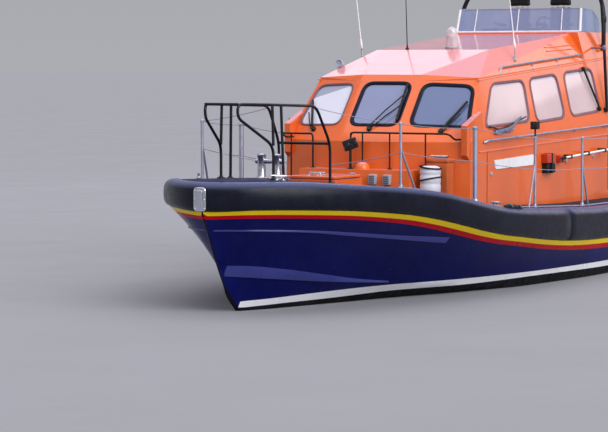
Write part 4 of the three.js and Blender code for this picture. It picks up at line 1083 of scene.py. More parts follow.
def make_stern_rail():
    build = Build()
    build.tube([at(*STERN_POSTS[0], 1.1), at(*STERN_POSTS[0], STERN_RAIL_TOP),
                at(*STERN_POSTS[1], STERN_RAIL_TOP), at(STERN_RAIL_END, 0, STERN_RAIL_TOP)], TUBE,
                RAIL_STEEL, bend=0.14)
    build.tube([at(*STERN_POSTS[0], STERN_RAIL_MID), at(*STERN_POSTS[1], STERN_RAIL_MID),
                at(STERN_RAIL_END, 0, STERN_RAIL_MID)], 0.014, RAIL_STEEL, bend=0.1)
    for s, y in (*STERN_POSTS, (STERN_RAIL_END, 0.64)):
        deck = SHEER(s) + DECK_CAMBER * math.cos(y / 2 * math.pi / 2)
        build.tube([at(s, y, deck - 0.01), at(s, y, STERN_RAIL_TOP)], TUBE, RAIL_STEEL)
        build.turned([(0.05, 0), (0.05, 0.008), (0.03, 0.016), (0.024, 0.04)], at(s, y, deck), (0, 0, 1),
                     RAIL_STEEL, sides=18)
    build.mirror()
    build.place("stern_rail_tubes", slot="stainless", replaces=("stern_rail",))


def make_hand_rails():
    for name, side in (("port", 1), ("starboard", -1)):
        build = Build()
        line = [at(5.0, 1.5, knuckle_z(5.05) - 0.03), at(5.06, 1.54, knuckle_z(5.05)),
                at(9.24, 1.54, knuckle_z(9.25)),
                at(9.3, 1.5, knuckle_z(9.25) - 0.03)]
        build.tube(line, 0.015, RAIL_STEEL, bend=0.04)
        for s in (5.1, 6.1, 7.1, 8.1, 9.2):
            build.tube([at(s, 1.54, knuckle_z(s)), at(s, 1.49, knuckle_z(s) - 0.012)], 0.011, RAIL_STEEL,
                       sides=10)
            build.turned([(0.03, 0), (0.03, 0.005), (0.014, 0.01)], at(s, 1.4895, knuckle_z(s) - 0.014),
                         (0, 1, 0), RAIL_STEEL, sides=16)
        if side < 0:
            build.flip()
        build.place(f"hand_rail_tube_{name}", slot="stainless", replaces=(f"hand_rail_{name}",))
        build = Build()

        def roof_point(s, lift):
            z = eave_z(s)
            return at(s, side_y(z) - 0.025, z + lift)
        build.tube([roof_point(5.95, 0.03), roof_point(6.03, 0.13), roof_point(8.9, 0.13),
                    roof_point(8.96, 0.03)],
                   0.014, RAIL_STEEL, bend=0.07)
        for s in (7.1, 8.0):
            build.tube([roof_point(s, 0.03), roof_point(s, 0.13)], 0.011, RAIL_STEEL, sides=10)
        for s in (5.95, 7.1, 8.0, 8.96):
            build.turned([(0.034, -0.006), (0.034, 0.004), (0.018, 0.012)], roof_point(s, 0.032),
                         (0, 0.25, 1), RAIL_STEEL, sides=16)
        if side < 0:
            build.flip()
        build.place(f"roof_rail_tube_{name}", slot="stainless", replaces=(f"roof_rail_{name}",))


# Places on the surface of a carried piece
SKINS = {}


def skin(node):
    if node not in SKINS:
        mesh = NODES[node].data
        places = [v.co for v in mesh.vertices]
        SKINS[node] = BVHTree.FromPolygons(places, [tuple(p.vertices) for p in mesh.polygons])
    return SKINS[node]


def on_top(node, s, y, lift=0.0):
    """The highest place of a node at a station and half-breadth, lifted off it."""
    place, normal, _, _ = skin(node).ray_cast(at(s, y, 9), Vector((0, 0, -1)))
    return place + normal * lift


def on_wall(s, z, lift=0.0):
    """A place on the wheelhouse's port side."""
    normal = Vector((0, 1, SIDE_LEAN if z > knuckle_z(s) else 0)).normalized()
    return at(s, side_y(z), z) + normal * lift


def foot_plate(build, place, axis, radius, material, sides=16):
    """The round foot of a rail or post."""
    profile = [(radius, -0.004), (radius, 0.005), (radius * 0.55, 0.011), (radius * 0.5, 0.02)]
    build.turned(profile, place, axis, material, sides=sides)


UP = Vector((0, 0, 1))

# Mouldings along the hull: a spray rail under the fender, a ledge at the chine and a rail below the water
SPRAY_TOP = curve([
    (0.351, 1.092), (0.736, 1.081), (1.207, 1.055), (1.782, 1.001), (2.426, 0.935), (3.117, 0.877),
    (3.7, 0.83),
])
SPRAY_FOOT = curve([
    (0.351, 1.078), (0.74, 1.062), (1.22, 1.029), (1.8, 0.96), (2.46, 0.886), (3.17, 0.805), (3.7, 0.75),
])
LEDGE_TOP = curve([(0.541, 0.613), (0.727, 0.605), (1.207, 0.542), (1.826, 0.437), (2.501, 0.326),
                   (2.997, 0.268)])
LEDGE_FOOT = curve([(0.54, 0.485), (0.779, 0.458), (1.279, 0.404), (1.884, 0.339), (2.528, 0.283),
                    (3.007, 0.248)])


def hull_strip(build, start, end, top, foot, proud, material, count=28):
    rings = []
    for k in range(count + 1):
        s = start + (end - start) * k / count
        swell = proud * min(1.0, k / 4 + 0.2)
        high, low = top(s), foot(s)
        rings.append([
            at(s, hull_half(s, high) - 0.02, high), at(s, hull_half(s, high) + 0.004, high),
            at(s, hull_half(s, low) + swell, low), at(s, hull_half(s, low) + swell * 0.8, low - 0.006),
            at(s, hull_half(s, low) - 0.02, low - 0.008),
        ])
    build.loft(rings, material)


def make_spray_rails():
    build = Build()
    # the spray rail and chine ledge take the lighter navy, a painted highlight
    hull_strip(build, 0.24, 3.42, SPRAY_TOP, SPRAY_FOOT, 0.03, NAVY_RAIL_HIGHLIGHT)
    hull_strip(build, 0.56, 3.0, LEDGE_TOP, LEDGE_FOOT, 0.035, NAVY_RAIL_HIGHLIGHT)
    hull_strip(build, 5.3, 12.85, lambda s: CHINE_Z(s) + 0.03, CHINE_Z, 0.03, BOTTOM)
    build.mirror()
    build.place("spray_rails", slot="hull_navy", sharp=30)


# Deck
HATCH = dict(s=(2.792, 3.508), half=0.358, lid=(1.616, 1.656))
COLLAR_RISE = 0.115
CLEATS = ((0.95, 0.62), (4.8, 1.78), (9.9, 1.93), (12.75, 1.72))
TREADS = ((5.3, 10.4, 1.54, 1.8), (10.75, 12.35, 1.2, 1.78))
PAD = dict(s=(4.45, 4.93), out=0.09)


def make_deck_fittings():
    build = Build()
    (fore, aft), half, top = HATCH["s"], HATCH["half"], HATCH["lid"][0] - 0.003
    ring = [at(s, y, top) for s, y in ((fore, -half), (fore, half), (aft, half), (aft, -half))]
    rings = []
    for grow, drop in ((0.0, 0.0), (0.012, 0.004), (0.014, COLLAR_RISE - 0.02), (0.034, COLLAR_RISE)):
        rings.append([Vector((p.x + math.copysign(grow, p.x - BOW + (fore + aft) / 2),
                              p.y + math.copysign(grow, p.y), p.z - drop)) for p in ring])
    build.loft(rings, ORANGE, caps=False)
    build.place("hatch_collar", slot="house_orange")

    build = Build()
    for s, y in CLEATS:
        foot = on_deck(s, y)
        along = (on_deck(s + 0.1, DECK_EDGE(s + 0.1)) - on_deck(s, DECK_EDGE(s))).normalized()
        for reach in (-0.045, 0.045):
            build.tube([foot + along * reach - UP * 0.01, foot + along * reach + UP * 0.05], 0.017, STEEL)
            foot_plate(build, foot + along * reach, UP, 0.034, STEEL)
        horn = [foot + along * t + UP * (0.055 + 0.09 * abs(t) ** 1.5)
                for t in (-0.13, -0.08, 0, 0.08, 0.13)]
        build.tube(horn, [0.009, 0.016, 0.019, 0.016, 0.009], STEEL)
    build.mirror()
    build.place("deck_cleats", slot="stainless")

    build = Build()
    for fore, aft, inner, outer in TREADS:
        count = round((aft - fore) / 0.5)
        for k in range(count):
            a = fore + (aft - fore) * k / count + 0.012
            b = fore + (aft - fore) * (k + 1) / count - 0.012
            corners = [on_deck(s, y, lift) for lift in (-0.002, 0.004) for y in (inner, outer)
                       for s in (b, a)]
            build.block(corners, NON_SLIP, edge=0)
    build.mirror()
    build.place("deck_treads", slot="console_grey")

    build = Build()
    fore, aft = PAD["s"]
    spine = [deck_place(fore + (aft - fore) * k / 8, -PAD["out"], 0.0) for k in range(9)]
    build.tube(spine, [0.014, 0.032, 0.038, 0.04, 0.04, 0.04, 0.038, 0.032, 0.014], BLACK, sides=12)
    for k in (2, 6):
        build.tube([spine[k] + Vector((0, -0.1, 0.0)), spine[k] + Vector((0, -0.03, 0.038)),
                    spine[k] + Vector((0, 0.03, 0.038)),
                    spine[k] + Vector((0, 0.06, 0.0))], 0.009, GREY, sides=8, bend=0.02)
    build.mirror()
    build.place("fender_pads", slot="fender_rubber")


def handle(build, base, along, out, radius=0.01, reach=0.1, height=0.045):
    """A grab handle on a surface: base is its middle, along its run and out the way it stands."""
    ends = [base - along * reach, base + along * reach]
    line = [ends[0] - out * 0.002, ends[0] + out * height, ends[1] + out * height, ends[1] - out * 0.002]
    build.tube(line, radius, STEEL, bend=height * 0.6)
    for end in ends:
        foot_plate(build, end, out, radius * 2.4, STEEL)


def make_hatch_details():
    build = Build()
    (fore, aft), half, (_, top) = HATCH["s"], HATCH["half"], HATCH["lid"]
    for y in (-0.24, 0.24):
        build.box((aft - 0.07, aft + 0.02), (y - 0.035, y + 0.035), (top - 0.002, top + 0.014), STEEL,
                  edge=0.004)
        build.tube([at(aft + 0.004, y - 0.04, top + 0.012), at(aft + 0.004, y + 0.04, top + 0.012)], 0.011,
                   STEEL)
    handle(build, at(fore + 0.08, 0, top), Vector((0, 1, 0)), UP, reach=0.09)
    build.turned([(0.045, -0.001), (0.045, 0.006), (0.036, 0.012), (0, 0.013)], at(fore + 0.2, 0, top), UP,
                 STEEL)
    for s0, s1 in ((fore + 0.28, fore + 0.44), (fore + 0.46, aft - 0.08)):
        build.box((s0, s1), (0.06 - half, half - 0.06), (top - 0.001, top + 0.003), NON_SLIP, edge=0.001)
    build.place("foredeck_hatch_fittings", body="foredeck_hatch", slot="stainless")

    build = Build()
    top = 1.06
    for y in (-0.52, 0.52):
        for s0, s1 in ((11.0, 11.42), (11.45, 11.9)):
            build.box((s0, s1), (y - 0.4, y + 0.4), (top - 0.001, top + 0.004), NON_SLIP, edge=0.001)
        handle(build, at(10.84, y, top), Vector((0, 1, 0)), UP)
        build.box((12.1, 12.19), (y - 0.07, y + 0.07), (top - 0.001, top + 0.014), STEEL, edge=0.004)
        build.tube([at(12.178, y - 0.075, top + 0.012), at(12.178, y + 0.075, top + 0.012)], 0.012, STEEL)
    for s in (10.78, 12.1):
        for y in (-0.98, 0.98):
            build.turned([(0.04, -0.001), (0.04, 0.006), (0.03, 0.012), (0, 0.013)], at(s, y, top), UP,
                         STEEL)
    build.place("engine_hatch_fittings", body="engine_hatch", slot="stainless")


BITT = dict(s=1.7, half=0.12, top=2.0, radius=0.055)
TOW = dict(s=12.75, top=1.56, radius=0.08)


def make_bitts():
    def post(build, foot, top, radius):
        high = top - foot.z
        build.turned([(radius * 1.75, -0.01), (radius * 1.75, 0.012), (radius * 1.2, 0.024),
                      (radius, 0.045),
                      (radius, high - 0.05), (radius * 1.16, high - 0.032), (radius * 1.16, high - 0.01),
                      (radius * 0.9, high), (0, high)], foot, UP, STEEL, sides=32)

    def crossbar(build, s, z, reach, radius):
        line = [at(s, side * (reach - back), z) for side, back in
                ((-1, 0), (-1, 0.006), (-1, 0.022), (1, 0.022), (1, 0.006), (1, 0))]
        build.tube(line, [radius * k for k in (0.8, 0.96, 1, 1, 0.96, 0.8)], STEEL, sides=20)

    build = Build()
    for y in (-BITT["half"], BITT["half"]):
        post(build, on_deck(BITT["s"], y), BITT["top"], BITT["radius"])
    crossbar(build, BITT["s"], 1.9, 0.21, 0.032)
    build.place("bitts", slot="stainless", replaces=("bow_bitts",))

    build = Build()
    foot = on_deck(TOW["s"], 0)
    post(build, foot, TOW["top"], TOW["radius"])
    crossbar(build, TOW["s"], 1.43, 0.23, 0.038)
    for k in range(6):
        a = math.tau * k / 6
        place = foot + Vector((0.12 * math.cos(a), 0.12 * math.sin(a), 0.01))
        build.turned([(0.014, 0), (0.014, 0.01), (0, 0.012)], place, UP, STEEL, sides=6)
    build.place("towing_post", slot="stainless", replaces=("tow_post",))


# On and beside the foredeck trunk
TRUNK_TOP = 1.70
CANISTER = dict(s=4.13, y=1.11, radius=0.145, top=1.77)
LOCKER = dict(s=(4.295, 4.5), y=(0.95, 1.29), top=1.865)
DECK_LAMP = dict(s=4.08, y=-0.13, z=2.045)


def make_trunk_vents():
    build = Build()
    dome = [(0.108, -0.004), (0.108, 0.02), (0.1, 0.05), (0.078, 0.082), (0.045, 0.1), (0, 0.106)]
    build.turned(dome, at(4.09, 0.055, TRUNK_TOP - 0.003), UP, ORANGE)
    build.turned([(0.085, -0.01), (0.085, 0.014), (0.075, 0.03), (0, 0.034)], at(4.5, -0.5, TRUNK_TOP), UP,
                 ORANGE)
    build.place("trunk_ventilators", slot="house_orange")

    build = Build()
    for y in (0.325, 0.55):
        build.box((3.87, 3.98), (y - 0.055, y + 0.055), (1.5, 1.64), PALE_GREY, edge=0.012, segments=3)
        for k in range(4):
            z = 1.522 + k * 0.028
            build.box((3.865, 3.88), (y - 0.04, y + 0.04), (z, z + 0.009), BLACK, edge=0.002)
    build.place("trunk_vents", slot="console_grey")

    build = Build()
    head = at(DECK_LAMP["s"], DECK_LAMP["y"], DECK_LAMP["z"])
    turn = Matrix.Rotation(math.radians(28), 4, "Z") @ Matrix.Rotation(math.radians(20), 4, "X")
    case = [head + turn @ Vector(c) for c in box_corners((-0.055, -0.1, -0.075), (0.06, 0.1, 0.075))]
    build.block(case, BLACK, edge=0.014, segments=3)
    for y in (-0.053, 0.053):
        lens = [(0.04, -0.005), (0.043, 0.008), (0.036, 0.01), (0.03, 0.002), (0, 0.006)]
        build.turned(lens, head + turn @ Vector((0.06, y, 0)), turn @ Vector((1, 0, 0)), SCREEN_BLACK,
                     sides=24)
    foot = at(DECK_LAMP["s"], DECK_LAMP["y"], TRUNK_TOP)
    build.tube([foot - UP * 0.004, head], 0.017, BLACK)
    foot_plate(build, foot, UP, 0.045, BLACK)
    build.place("deck_lamp", slot="black_tube")


def make_canister():
    build = Build()
    s, y, radius, top = (CANISTER[k] for k in ("s", "y", "radius", "top"))
    foot = on_deck(s, y).z - 0.01
    height = top - foot
    profile = [(radius * 0.6, 0), (radius * 0.93, 0.014), (radius, 0.05)]
    for part in (0.25, 0.5, 0.75):
        middle = height * part
        profile += [(radius, middle - 0.022), (radius * 0.965, middle - 0.01),
                    (radius * 0.965, middle + 0.01),
                    (radius, middle + 0.022)]
    profile += [(radius, height - 0.07), (radius * 0.92, height - 0.024), (radius * 0.6, height - 0.003),
                (0, height)]
    build.turned(profile, at(s, y, foot), UP, CANISTER_WHITE, sides=36)
    for z, tilt in ((0.31, 0.2), (0.47, -0.12)):
        reach = radius + 0.004
        strap = [at(s, y, foot + z) + Vector((reach * math.cos(a), reach * math.sin(a),
                                              reach * math.sin(a) * tilt))
                 for a in (math.tau * k / 32 for k in range(32))]
        build.tube(strap, 0.011, BLACK, sides=8, closed=True)
    build.place("liferaft_canister", slot="white_gloss", replaces=("raft_canister",), sharp=50)

    build = Build()
    s, y, top = LOCKER["s"], LOCKER["y"], LOCKER["top"]
    build.box(s, y, (on_deck(4.4, 1.1).z - 0.02, top - 0.06), BROWN, edge=0.03, segments=4)
    build.box((s[0] - 0.01, s[1] + 0.01), (y[0] - 0.01, y[1] + 0.01), (top - 0.062, top), BROWN, edge=0.028,
              segments=4)
    build.tube([at(4.39, 0.985, top + 0.02), at(4.39, 1.25, top + 0.02)], 0.02, STEEL, sides=14)
    for y in (1.0, 1.23):
        build.box((4.37, 4.41), (y - 0.01, y + 0.01), (top - 0.005, top + 0.021), BLACK, edge=0.003)
    build.place("deck_locker", slot="house_orange")


FRONT_RAIL = dict(s=4.25, top=2.205, uprights=(-0.22, -0.03, 0.405))


def make_front_rails():
    rail, plate, tail = 0.014, 0.034, 2.12

    def upright(build, s, y, foot, top):
        build.tube([at(s, y, foot), at(s, y, top)], 0.011, BLACK_TUBE, sides=10)
        foot_plate(build, at(s, y, foot + 0.0003), UP, plate, BLACK_TUBE)

    build = Build()
    s, top = FRONT_RAIL["s"], FRONT_RAIL["top"]
    line = [at(s, -0.22, TRUNK_TOP), at(s, -0.22, top), at(s, 1.33, top), at(4.4, 1.35, tail),
            at(4.9, 1.35, tail)]
    build.tube(line, rail, BLACK_TUBE, bend=0.06)
    for y in FRONT_RAIL["uprights"]:
        upright(build, s, y, TRUNK_TOP, top)
    upright(build, s, 0.97, on_deck(s, 0.97).z, top)
    build.place("front_rail_tubes", slot="black_tube", replaces=("front_rail",))

    build = Build()
    top = 2.18
    line = [at(s, -0.84, TRUNK_TOP), at(s, -0.84, top), at(s, -1.36, top), at(4.4, -1.38, tail),
            at(4.62, -1.39, tail)]
    build.tube(line, rail, BLACK_TUBE, bend=0.05)
    foot_plate(build, at(s, -0.84, TRUNK_TOP + 0.0003), UP, plate, BLACK_TUBE)
    upright(build, s, -1.2, on_deck(s, -1.2).z, top)
    build.place("front_rail_starboard", slot="black_tube")


# Wipers
def plane_normal(place):
    """The outward direction of the wall that a function of (across, height) lies on."""
    middle = place(0.5, 2.5)
    return (place(0.6, 2.5) - middle).cross(place(0.5, 2.6) - middle).normalized()


def wiper(build, place, blade, pivot, arms, thick=0.018):
    """A blade on two parallel arms from a motor boss, on the wall that place gives."""
    normal = plane_normal(place)
    ends = [place(*p) + normal * 0.03 for p in blade]
    build.tube(ends, thick, BLACK, sides=8)
    build.tube([ends[0].lerp(ends[1], t) + normal * 0.012 for t in (0.2, 0.8)], thick * 0.7, BLACK, sides=8)
    for start, end in arms:
        a, b = place(*start), place(*end)
        build.tube([a + normal * 0.025, a.lerp(b, 0.5) + normal * 0.05, b + normal * 0.042], 0.009, BLACK,
                   sides=8)
    build.turned([(0.038, -0.004), (0.038, 0.02), (0.028, 0.036), (0, 0.038)], place(*pivot), normal, BLACK,
                 sides=20)


def make_wipers():
    build = Build()
    wiper(build, on_front, [(0.33, 2.86), (0.368, 2.36)], (-0.03, 2.245),
          [((-0.06, 2.25), (0.335, 2.7)), ((0.0, 2.25), (0.355, 2.56))])
    build.place("wiper_front", slot="black_tube")

    def corner(build):
        wiper(build, on_corner, [(0.86, 2.62), (0.6, 2.26)], (0.56, 2.225),
              [((0.56, 2.23), (0.76, 2.49)), ((0.6, 2.22), (0.79, 2.44))])
    both_sides("wiper_corner", corner, slot="black_tube")

    def side(build):
        low = [on_wall(5.2, 2.28, 0.03), on_wall(5.5, 2.225, 0.034), on_wall(6.0, 2.31, 0.034),
               on_wall(6.45, 2.39, 0.03)]
        build.tube(low, 0.01, BLACK, sides=8, bend=0.14)
        build.turned([(0.036, -0.035), (0.036, 0.008), (0.024, 0.02), (0, 0.022)],
                     on_wall(5.47, 2.215, 0.025),
                     (0, 1, SIDE_LEAN), BLACK, sides=20)
        build.block([on_wall(s, 2.165 + (s - 5.4) * 0.06 + rise, lift) for rise in (0, 0.06)
                     for lift in (-0.004, 0.05)
                     for s in (5.92, 5.36)], BRACKET, edge=0.016, segments=3)
        build.tube([on_wall(5.62, 2.2, 0.05), on_wall(5.9, 2.26, 0.055), on_wall(6.25, 2.385, 0.04)], 0.017,
                   BRACKET, bend=0.1)
        strut = [on_wall(8.84, 3.07, 0.03), on_wall(9.13, 2.45, 0.035)]
        build.tube(strut, 0.017, BLACK, sides=10)
        for end in strut:
            build.turned([(0.034, -0.036), (0.034, 0.012), (0.02, 0.02), (0, 0.021)], end,
                         (0, 1, SIDE_LEAN), BLACK, sides=16)
    both_sides("side_wiper", side, slot="black_tube")


# On the wheelhouse's sides
NAME_BOARD = [(5.34, 1.805), (6.63, 1.845), (6.61, 1.69), (5.37, 1.678)]
CAPS = ((5.25, 1.615), (7.79, 1.7), (8.78, 1.74))
SIDE_SEAMS = (5.12, 9.35)
MOULDING_DROP = 0.155  # the moulding runs this far below the knuckle
BOATHOOK = dict(fore=(7.47, 1.762), aft=(9.22, 1.835), y=1.6, radius=0.017)


def make_side_details():
    def mouldings(build):
        rings = []
        for s in np.linspace(4.87, 10.55, 20):
            z = knuckle_z(s) - MOULDING_DROP
            rings.append([on_wall(s, z + rise, lift) for rise, lift in
                          ((0.014, -0.004), (0.009, 0.012), (-0.007, 0.012), (-0.014, -0.004))])
        build.loft(rings, ORANGE)
        for s in SIDE_SEAMS:
            build.tube([on_wall(s, z, 0.001) for z in (1.2, knuckle_z(s) - MOULDING_DROP)], 0.006,
                       ORANGE_DARK, sides=6)
        build.tube([at(s, side_y(eave_z(s)) - 0.003, eave_z(s)) for s in np.linspace(5.2, 10.58, 18)],
                   0.012, ORANGE, sides=8)
    both_sides("side_mouldings", mouldings, slot="house_orange")

    def board(build):
        outline = softened([on_wall(s, z, 0.001) for s, z in NAME_BOARD][::-1], 0.03, closed=True)
        build.plate(outline, 0.014, WHITE, edge=0.005)
    both_sides("name_board", board, slot="white_gloss")

    def gear(build):
        wall = SIDE_HALF - 0.002
        build.box((6.91, 7.2), (wall, 1.6), (1.7, 1.84), RED_BOX, edge=0.016, segments=3)
        build.box((6.93, 7.22), (wall, 1.585), (1.555, 1.695), BLACK, edge=0.02, segments=3)
        build.box((7.04, 7.08), (wall, 1.606), (1.55, 1.846), BLACK, edge=0.004)
        build.box((7.43, 7.54), (wall, 1.55), (1.685, 1.8), RED_BOX, edge=0.012, segments=3)
        for s, z in CAPS:
            build.turned([(0.032, -0.003), (0.032, 0.008), (0.024, 0.014), (0, 0.016)], on_wall(s, z),
                         (0, 1, 0), PALE_GREY,
                         sides=20)
    both_sides("side_gear", gear, slot="seat_black")

    def boathook(build):
        fore, aft = (at(s, BOATHOOK["y"], z) for s, z in (BOATHOOK["fore"], BOATHOOK["aft"]))
        ahead = (fore - aft).normalized()
        build.tube([fore, aft], BOATHOOK["radius"], WHITE, sides=14)
        build.turned([(0.024, -0.05), (0.027, 0), (0.02, 0.03), (0.007, 0.1), (0, 0.104)], fore, ahead,
                     BLACK, sides=14)
        hook = [fore + ahead * 0.02, fore + ahead * 0.05 - UP * 0.03, fore + ahead * 0.03 - UP * 0.06,
                fore - UP * 0.055]
        build.tube(hook, [0.012, 0.01, 0.009, 0.006], BLACK, sides=8)
        build.turned([(0.023, -0.03), (0.025, 0), (0, 0.006)], aft, -ahead, BLACK, sides=14)
        for t in (0.14, 0.5, 0.86):
            p = fore.lerp(aft, t)
            s = BOW - p.x
            build.box((s - 0.015, s + 0.015), (SIDE_HALF - 0.002, BOATHOOK["y"] + 0.028),
                      (p.z - 0.032, p.z + 0.03), BLACK, edge=0.006)
    both_sides("boathook", boathook, slot="white_gloss")

    def lamp(build):
        s = 5.63
        foot = deck_place(s, RAIL_INSET, 0.98)
        head = foot + UP * 0.125
        build.tube([foot, head + UP * 0.01], 0.012, BLACK)
        build.block([head + Vector(c) for c in box_corners((-0.05, -0.052, 0), (0.06, 0.052, 0.11))], BLACK,
                    edge=0.014, segments=3)
        build.turned([(0.04, -0.004), (0.04, 0.008), (0.032, 0.012), (0, 0.006)],
                     head + Vector((0.058, 0, 0.056)),
                     (1, 0, 0), SCREEN_BLACK, sides=24)
    both_sides("rail_lamp", lamp, slot="seat_black")


# Roof
def make_roof_details():
    def mouldings(build):
        for y in (1.128, 1.092):
            line = [on_top("wheelhouse_roof", s, y, 0.003) for s in np.linspace(7.85, 8.96, 10)]
            build.tube(line, 0.009, ORANGE, sides=8)
    both_sides("roof_mouldings", mouldings, slot="house_orange")

    build = Build()
    foot = on_top("wheelhouse_roof", 5.66, -1.2)
    head = foot + UP * 0.07
    foot_plate(build, foot, UP, 0.045, STEEL)
    build.tube([foot, head], 0.014, STEEL)
    ahead = Vector((0.97, 0, 0.2)).normalized()
    build.turned([(0.02, -0.06), (0.05, -0.04), (0.062, 0.0), (0.062, 0.04), (0.056, 0.046), (0.05, 0.03),
                  (0, 0.024)], head,
                 ahead, PALE_GREY, sides=24)
    build.place("roof_lamp", slot="stainless")

    for name, s, y, forward, inboard in (("port", 6.65, 1.18, 0, 0.2),
                                         ("starboard", 6.25, -1.165, 0.1, 0.14)):
        build = Build()
        foot = on_top("wheelhouse_roof", s, y)
        knot = at(s, y, 3.42)
        build.turned([(0.036, -0.006), (0.036, 0.012), (0.02, 0.03), (0.016, 0.07)], foot, UP, PALE_GREY,
                     sides=18)
        build.tube([foot, knot], 0.009, STEEL, sides=8)
        turns, steps = 5, 60
        spring = []
        for k in range(steps + 1):
            a = math.tau * turns * k / steps
            spring.append(Vector((foot.x + 0.013 * math.cos(a), foot.y + 0.013 * math.sin(a),
                                  foot.z + 0.07 + 0.14 * k / steps)))
        build.tube(spring, 0.0035, STEEL, sides=6)
        tip = at(s - forward, y - inboard, 5.0)
        root = knot - UP * 0.03
        build.tube([root] + [root.lerp(tip, t) for t in (0.01, 0.03, 0.07, 0.1, 0.5, 1.0)],
                   [0.01, 0.017, 0.02, 0.016, 0.008, 0.007, 0.0045], WHITE, sides=12)
        build.place(f"whip_aerial_{name}", slot="white_gloss", replaces=(f"aerial_{name}",))

    build = Build()
    foot = on_top("wheelhouse_roof", 6.36, -0.45)
    build.turned([(0.03, -0.004), (0.03, 0.01), (0.014, 0.03), (0.01, 0.07)], foot, UP, BLACK, sides=16)
    build.tube([foot, foot + Vector((0.05, 0, 0.8)), foot + Vector((0.16, 0, 1.75))], [0.008, 0.006, 0.004],
               BLACK, sides=8)
    build.place("dark_aerial", slot="black_tube")

    build = Build()
    line = [on_wall(9.4, 2.45, 0.035), at(9.38, 1.405, 3.4), at(9.34, 1.33, 4.7)]
    lean = (line[2] - line[1]).normalized()
    build.tube(line, 0.024, BLACK_TUBE, sides=18)
    build.turned([(0.024, 0), (0.03, 0.01), (0.03, 0.05), (0.012, 0.07), (0.01, 0.16), (0, 0.165)],
                 line[-1], lean, BLACK)
    build.box((9.34, 9.46), (1.4, 1.475), (2.405, 2.47), BLACK, edge=0.014)
    foot = at(9.38, 1.16, 3.4)
    build.tube([foot, line[1]], 0.015, BRACKET, sides=12)
    build.turned([(0.03, -0.03), (0.034, -0.02), (0.034, 0.03), (0.028, 0.04)], line[1], lean, BRACKET)
    build.place("aerial_post", slot="black_tube")


# Flybridge
SCREEN = dict(fore=9.196, half=1.076, foot=3.647, top=4.022)
SCREEN_BARS = ((-1.076, 0.02), (1.076, 0.02), (-0.765, 0.008), (-0.015, 0.008), (0.75, 0.008))


def make_windscreen():
    fore, half, foot, top = (SCREEN[k] for k in ("fore", "half", "foot", "top"))

    def up_screen(y, z):
        part = (z - foot) / (top - foot)
        return at(fore + 0.088 * part, y * (1 - 0.022 * part), z)

    build = Build()
    build.tube([at(fore, y, foot + 0.012) for y in (-half, half)], 0.015, WHITE, sides=12)
    for y in (-half, half):
        build.tube([at(s, y, foot + 0.006) for s in (fore, 9.96)], 0.007, PALE_GREY, sides=8)
    for y, radius in SCREEN_BARS:
        build.tube([up_screen(y, foot + 0.01), up_screen(y, top - 0.004)], radius, WHITE, sides=10)
    build.tube([up_screen(y, top) for y in (-half, 0, half)], 0.006, PALE_GREY, sides=8)
    for side in (-1, 1):
        edge = [at(9.29, side * 1.054, top), at(9.7, side * 1.056, 3.993), at(9.915, side * 1.064, 3.855),
                at(9.943, side * 1.08, foot + 0.02)]
        build.tube(edge, 0.007, PALE_GREY, sides=8)
    build.place("windscreen_frame", slot="white_gloss")


LAMP = dict(s=6.5, y=0.22, foot=3.5103, guard=0.09)


def make_searchlight():
    foot = at(LAMP["s"], LAMP["y"], LAMP["foot"])
    build = Build()
    build.turned([(0.03, 0), (0.03, 0.018), (0.074, 0.022), (0.082, 0.032), (0.082, 0.058), (0.072, 0.062),
                  (0, 0.062)],
                 foot, UP, PALE_GREY, sides=32)
    build.turned([(0.03, 0.06), (0.03, 0.1), (0.044, 0.115), (0.044, 0.15), (0.03, 0.165), (0, 0.168)],
                 foot, UP, WHITE,
                 sides=24)
    build.turned([(0.036, 0), (0.032, 0.006), (0, 0.008)], foot + Vector((0.042, 0, 0.132)), (1, 0, 0),
                 STEEL, sides=20)
    build.place("searchlight_head", body="searchlight", slot="stainless", replaces=("searchlight",))
    build = Build()
    roof = on_top("wheelhouse_roof", LAMP["s"], LAMP["y"] - LAMP["guard"]).z - LAMP["foot"]
    dome = [(LAMP["guard"], roof), (LAMP["guard"], 0.1)] + [
        (LAMP["guard"] * math.cos(a), 0.1 + 0.1 * math.sin(a))
        for a in (math.radians(d) for d in range(10, 91, 10))]
    build.turned(dome, foot, UP, CLEAR, sides=36, caps=False)
    build.place("searchlight_dome", slot="glass")
    build = Build()
    build.turned([(LAMP["guard"] + 0.012, roof), (LAMP["guard"] + 0.012, -0.1),
                  (LAMP["guard"] + 0.002, -0.09)], foot, UP,
                 PALE_GREY, sides=36, caps=False)
    build.place("searchlight_skirt", slot="stainless")


MAST = dict(s=9.72, y=1.245, z=3.4, radius=0.035)
PLATFORM = dict(s=(9.67, 10.13), half=0.57, z=(4.752, 4.788))


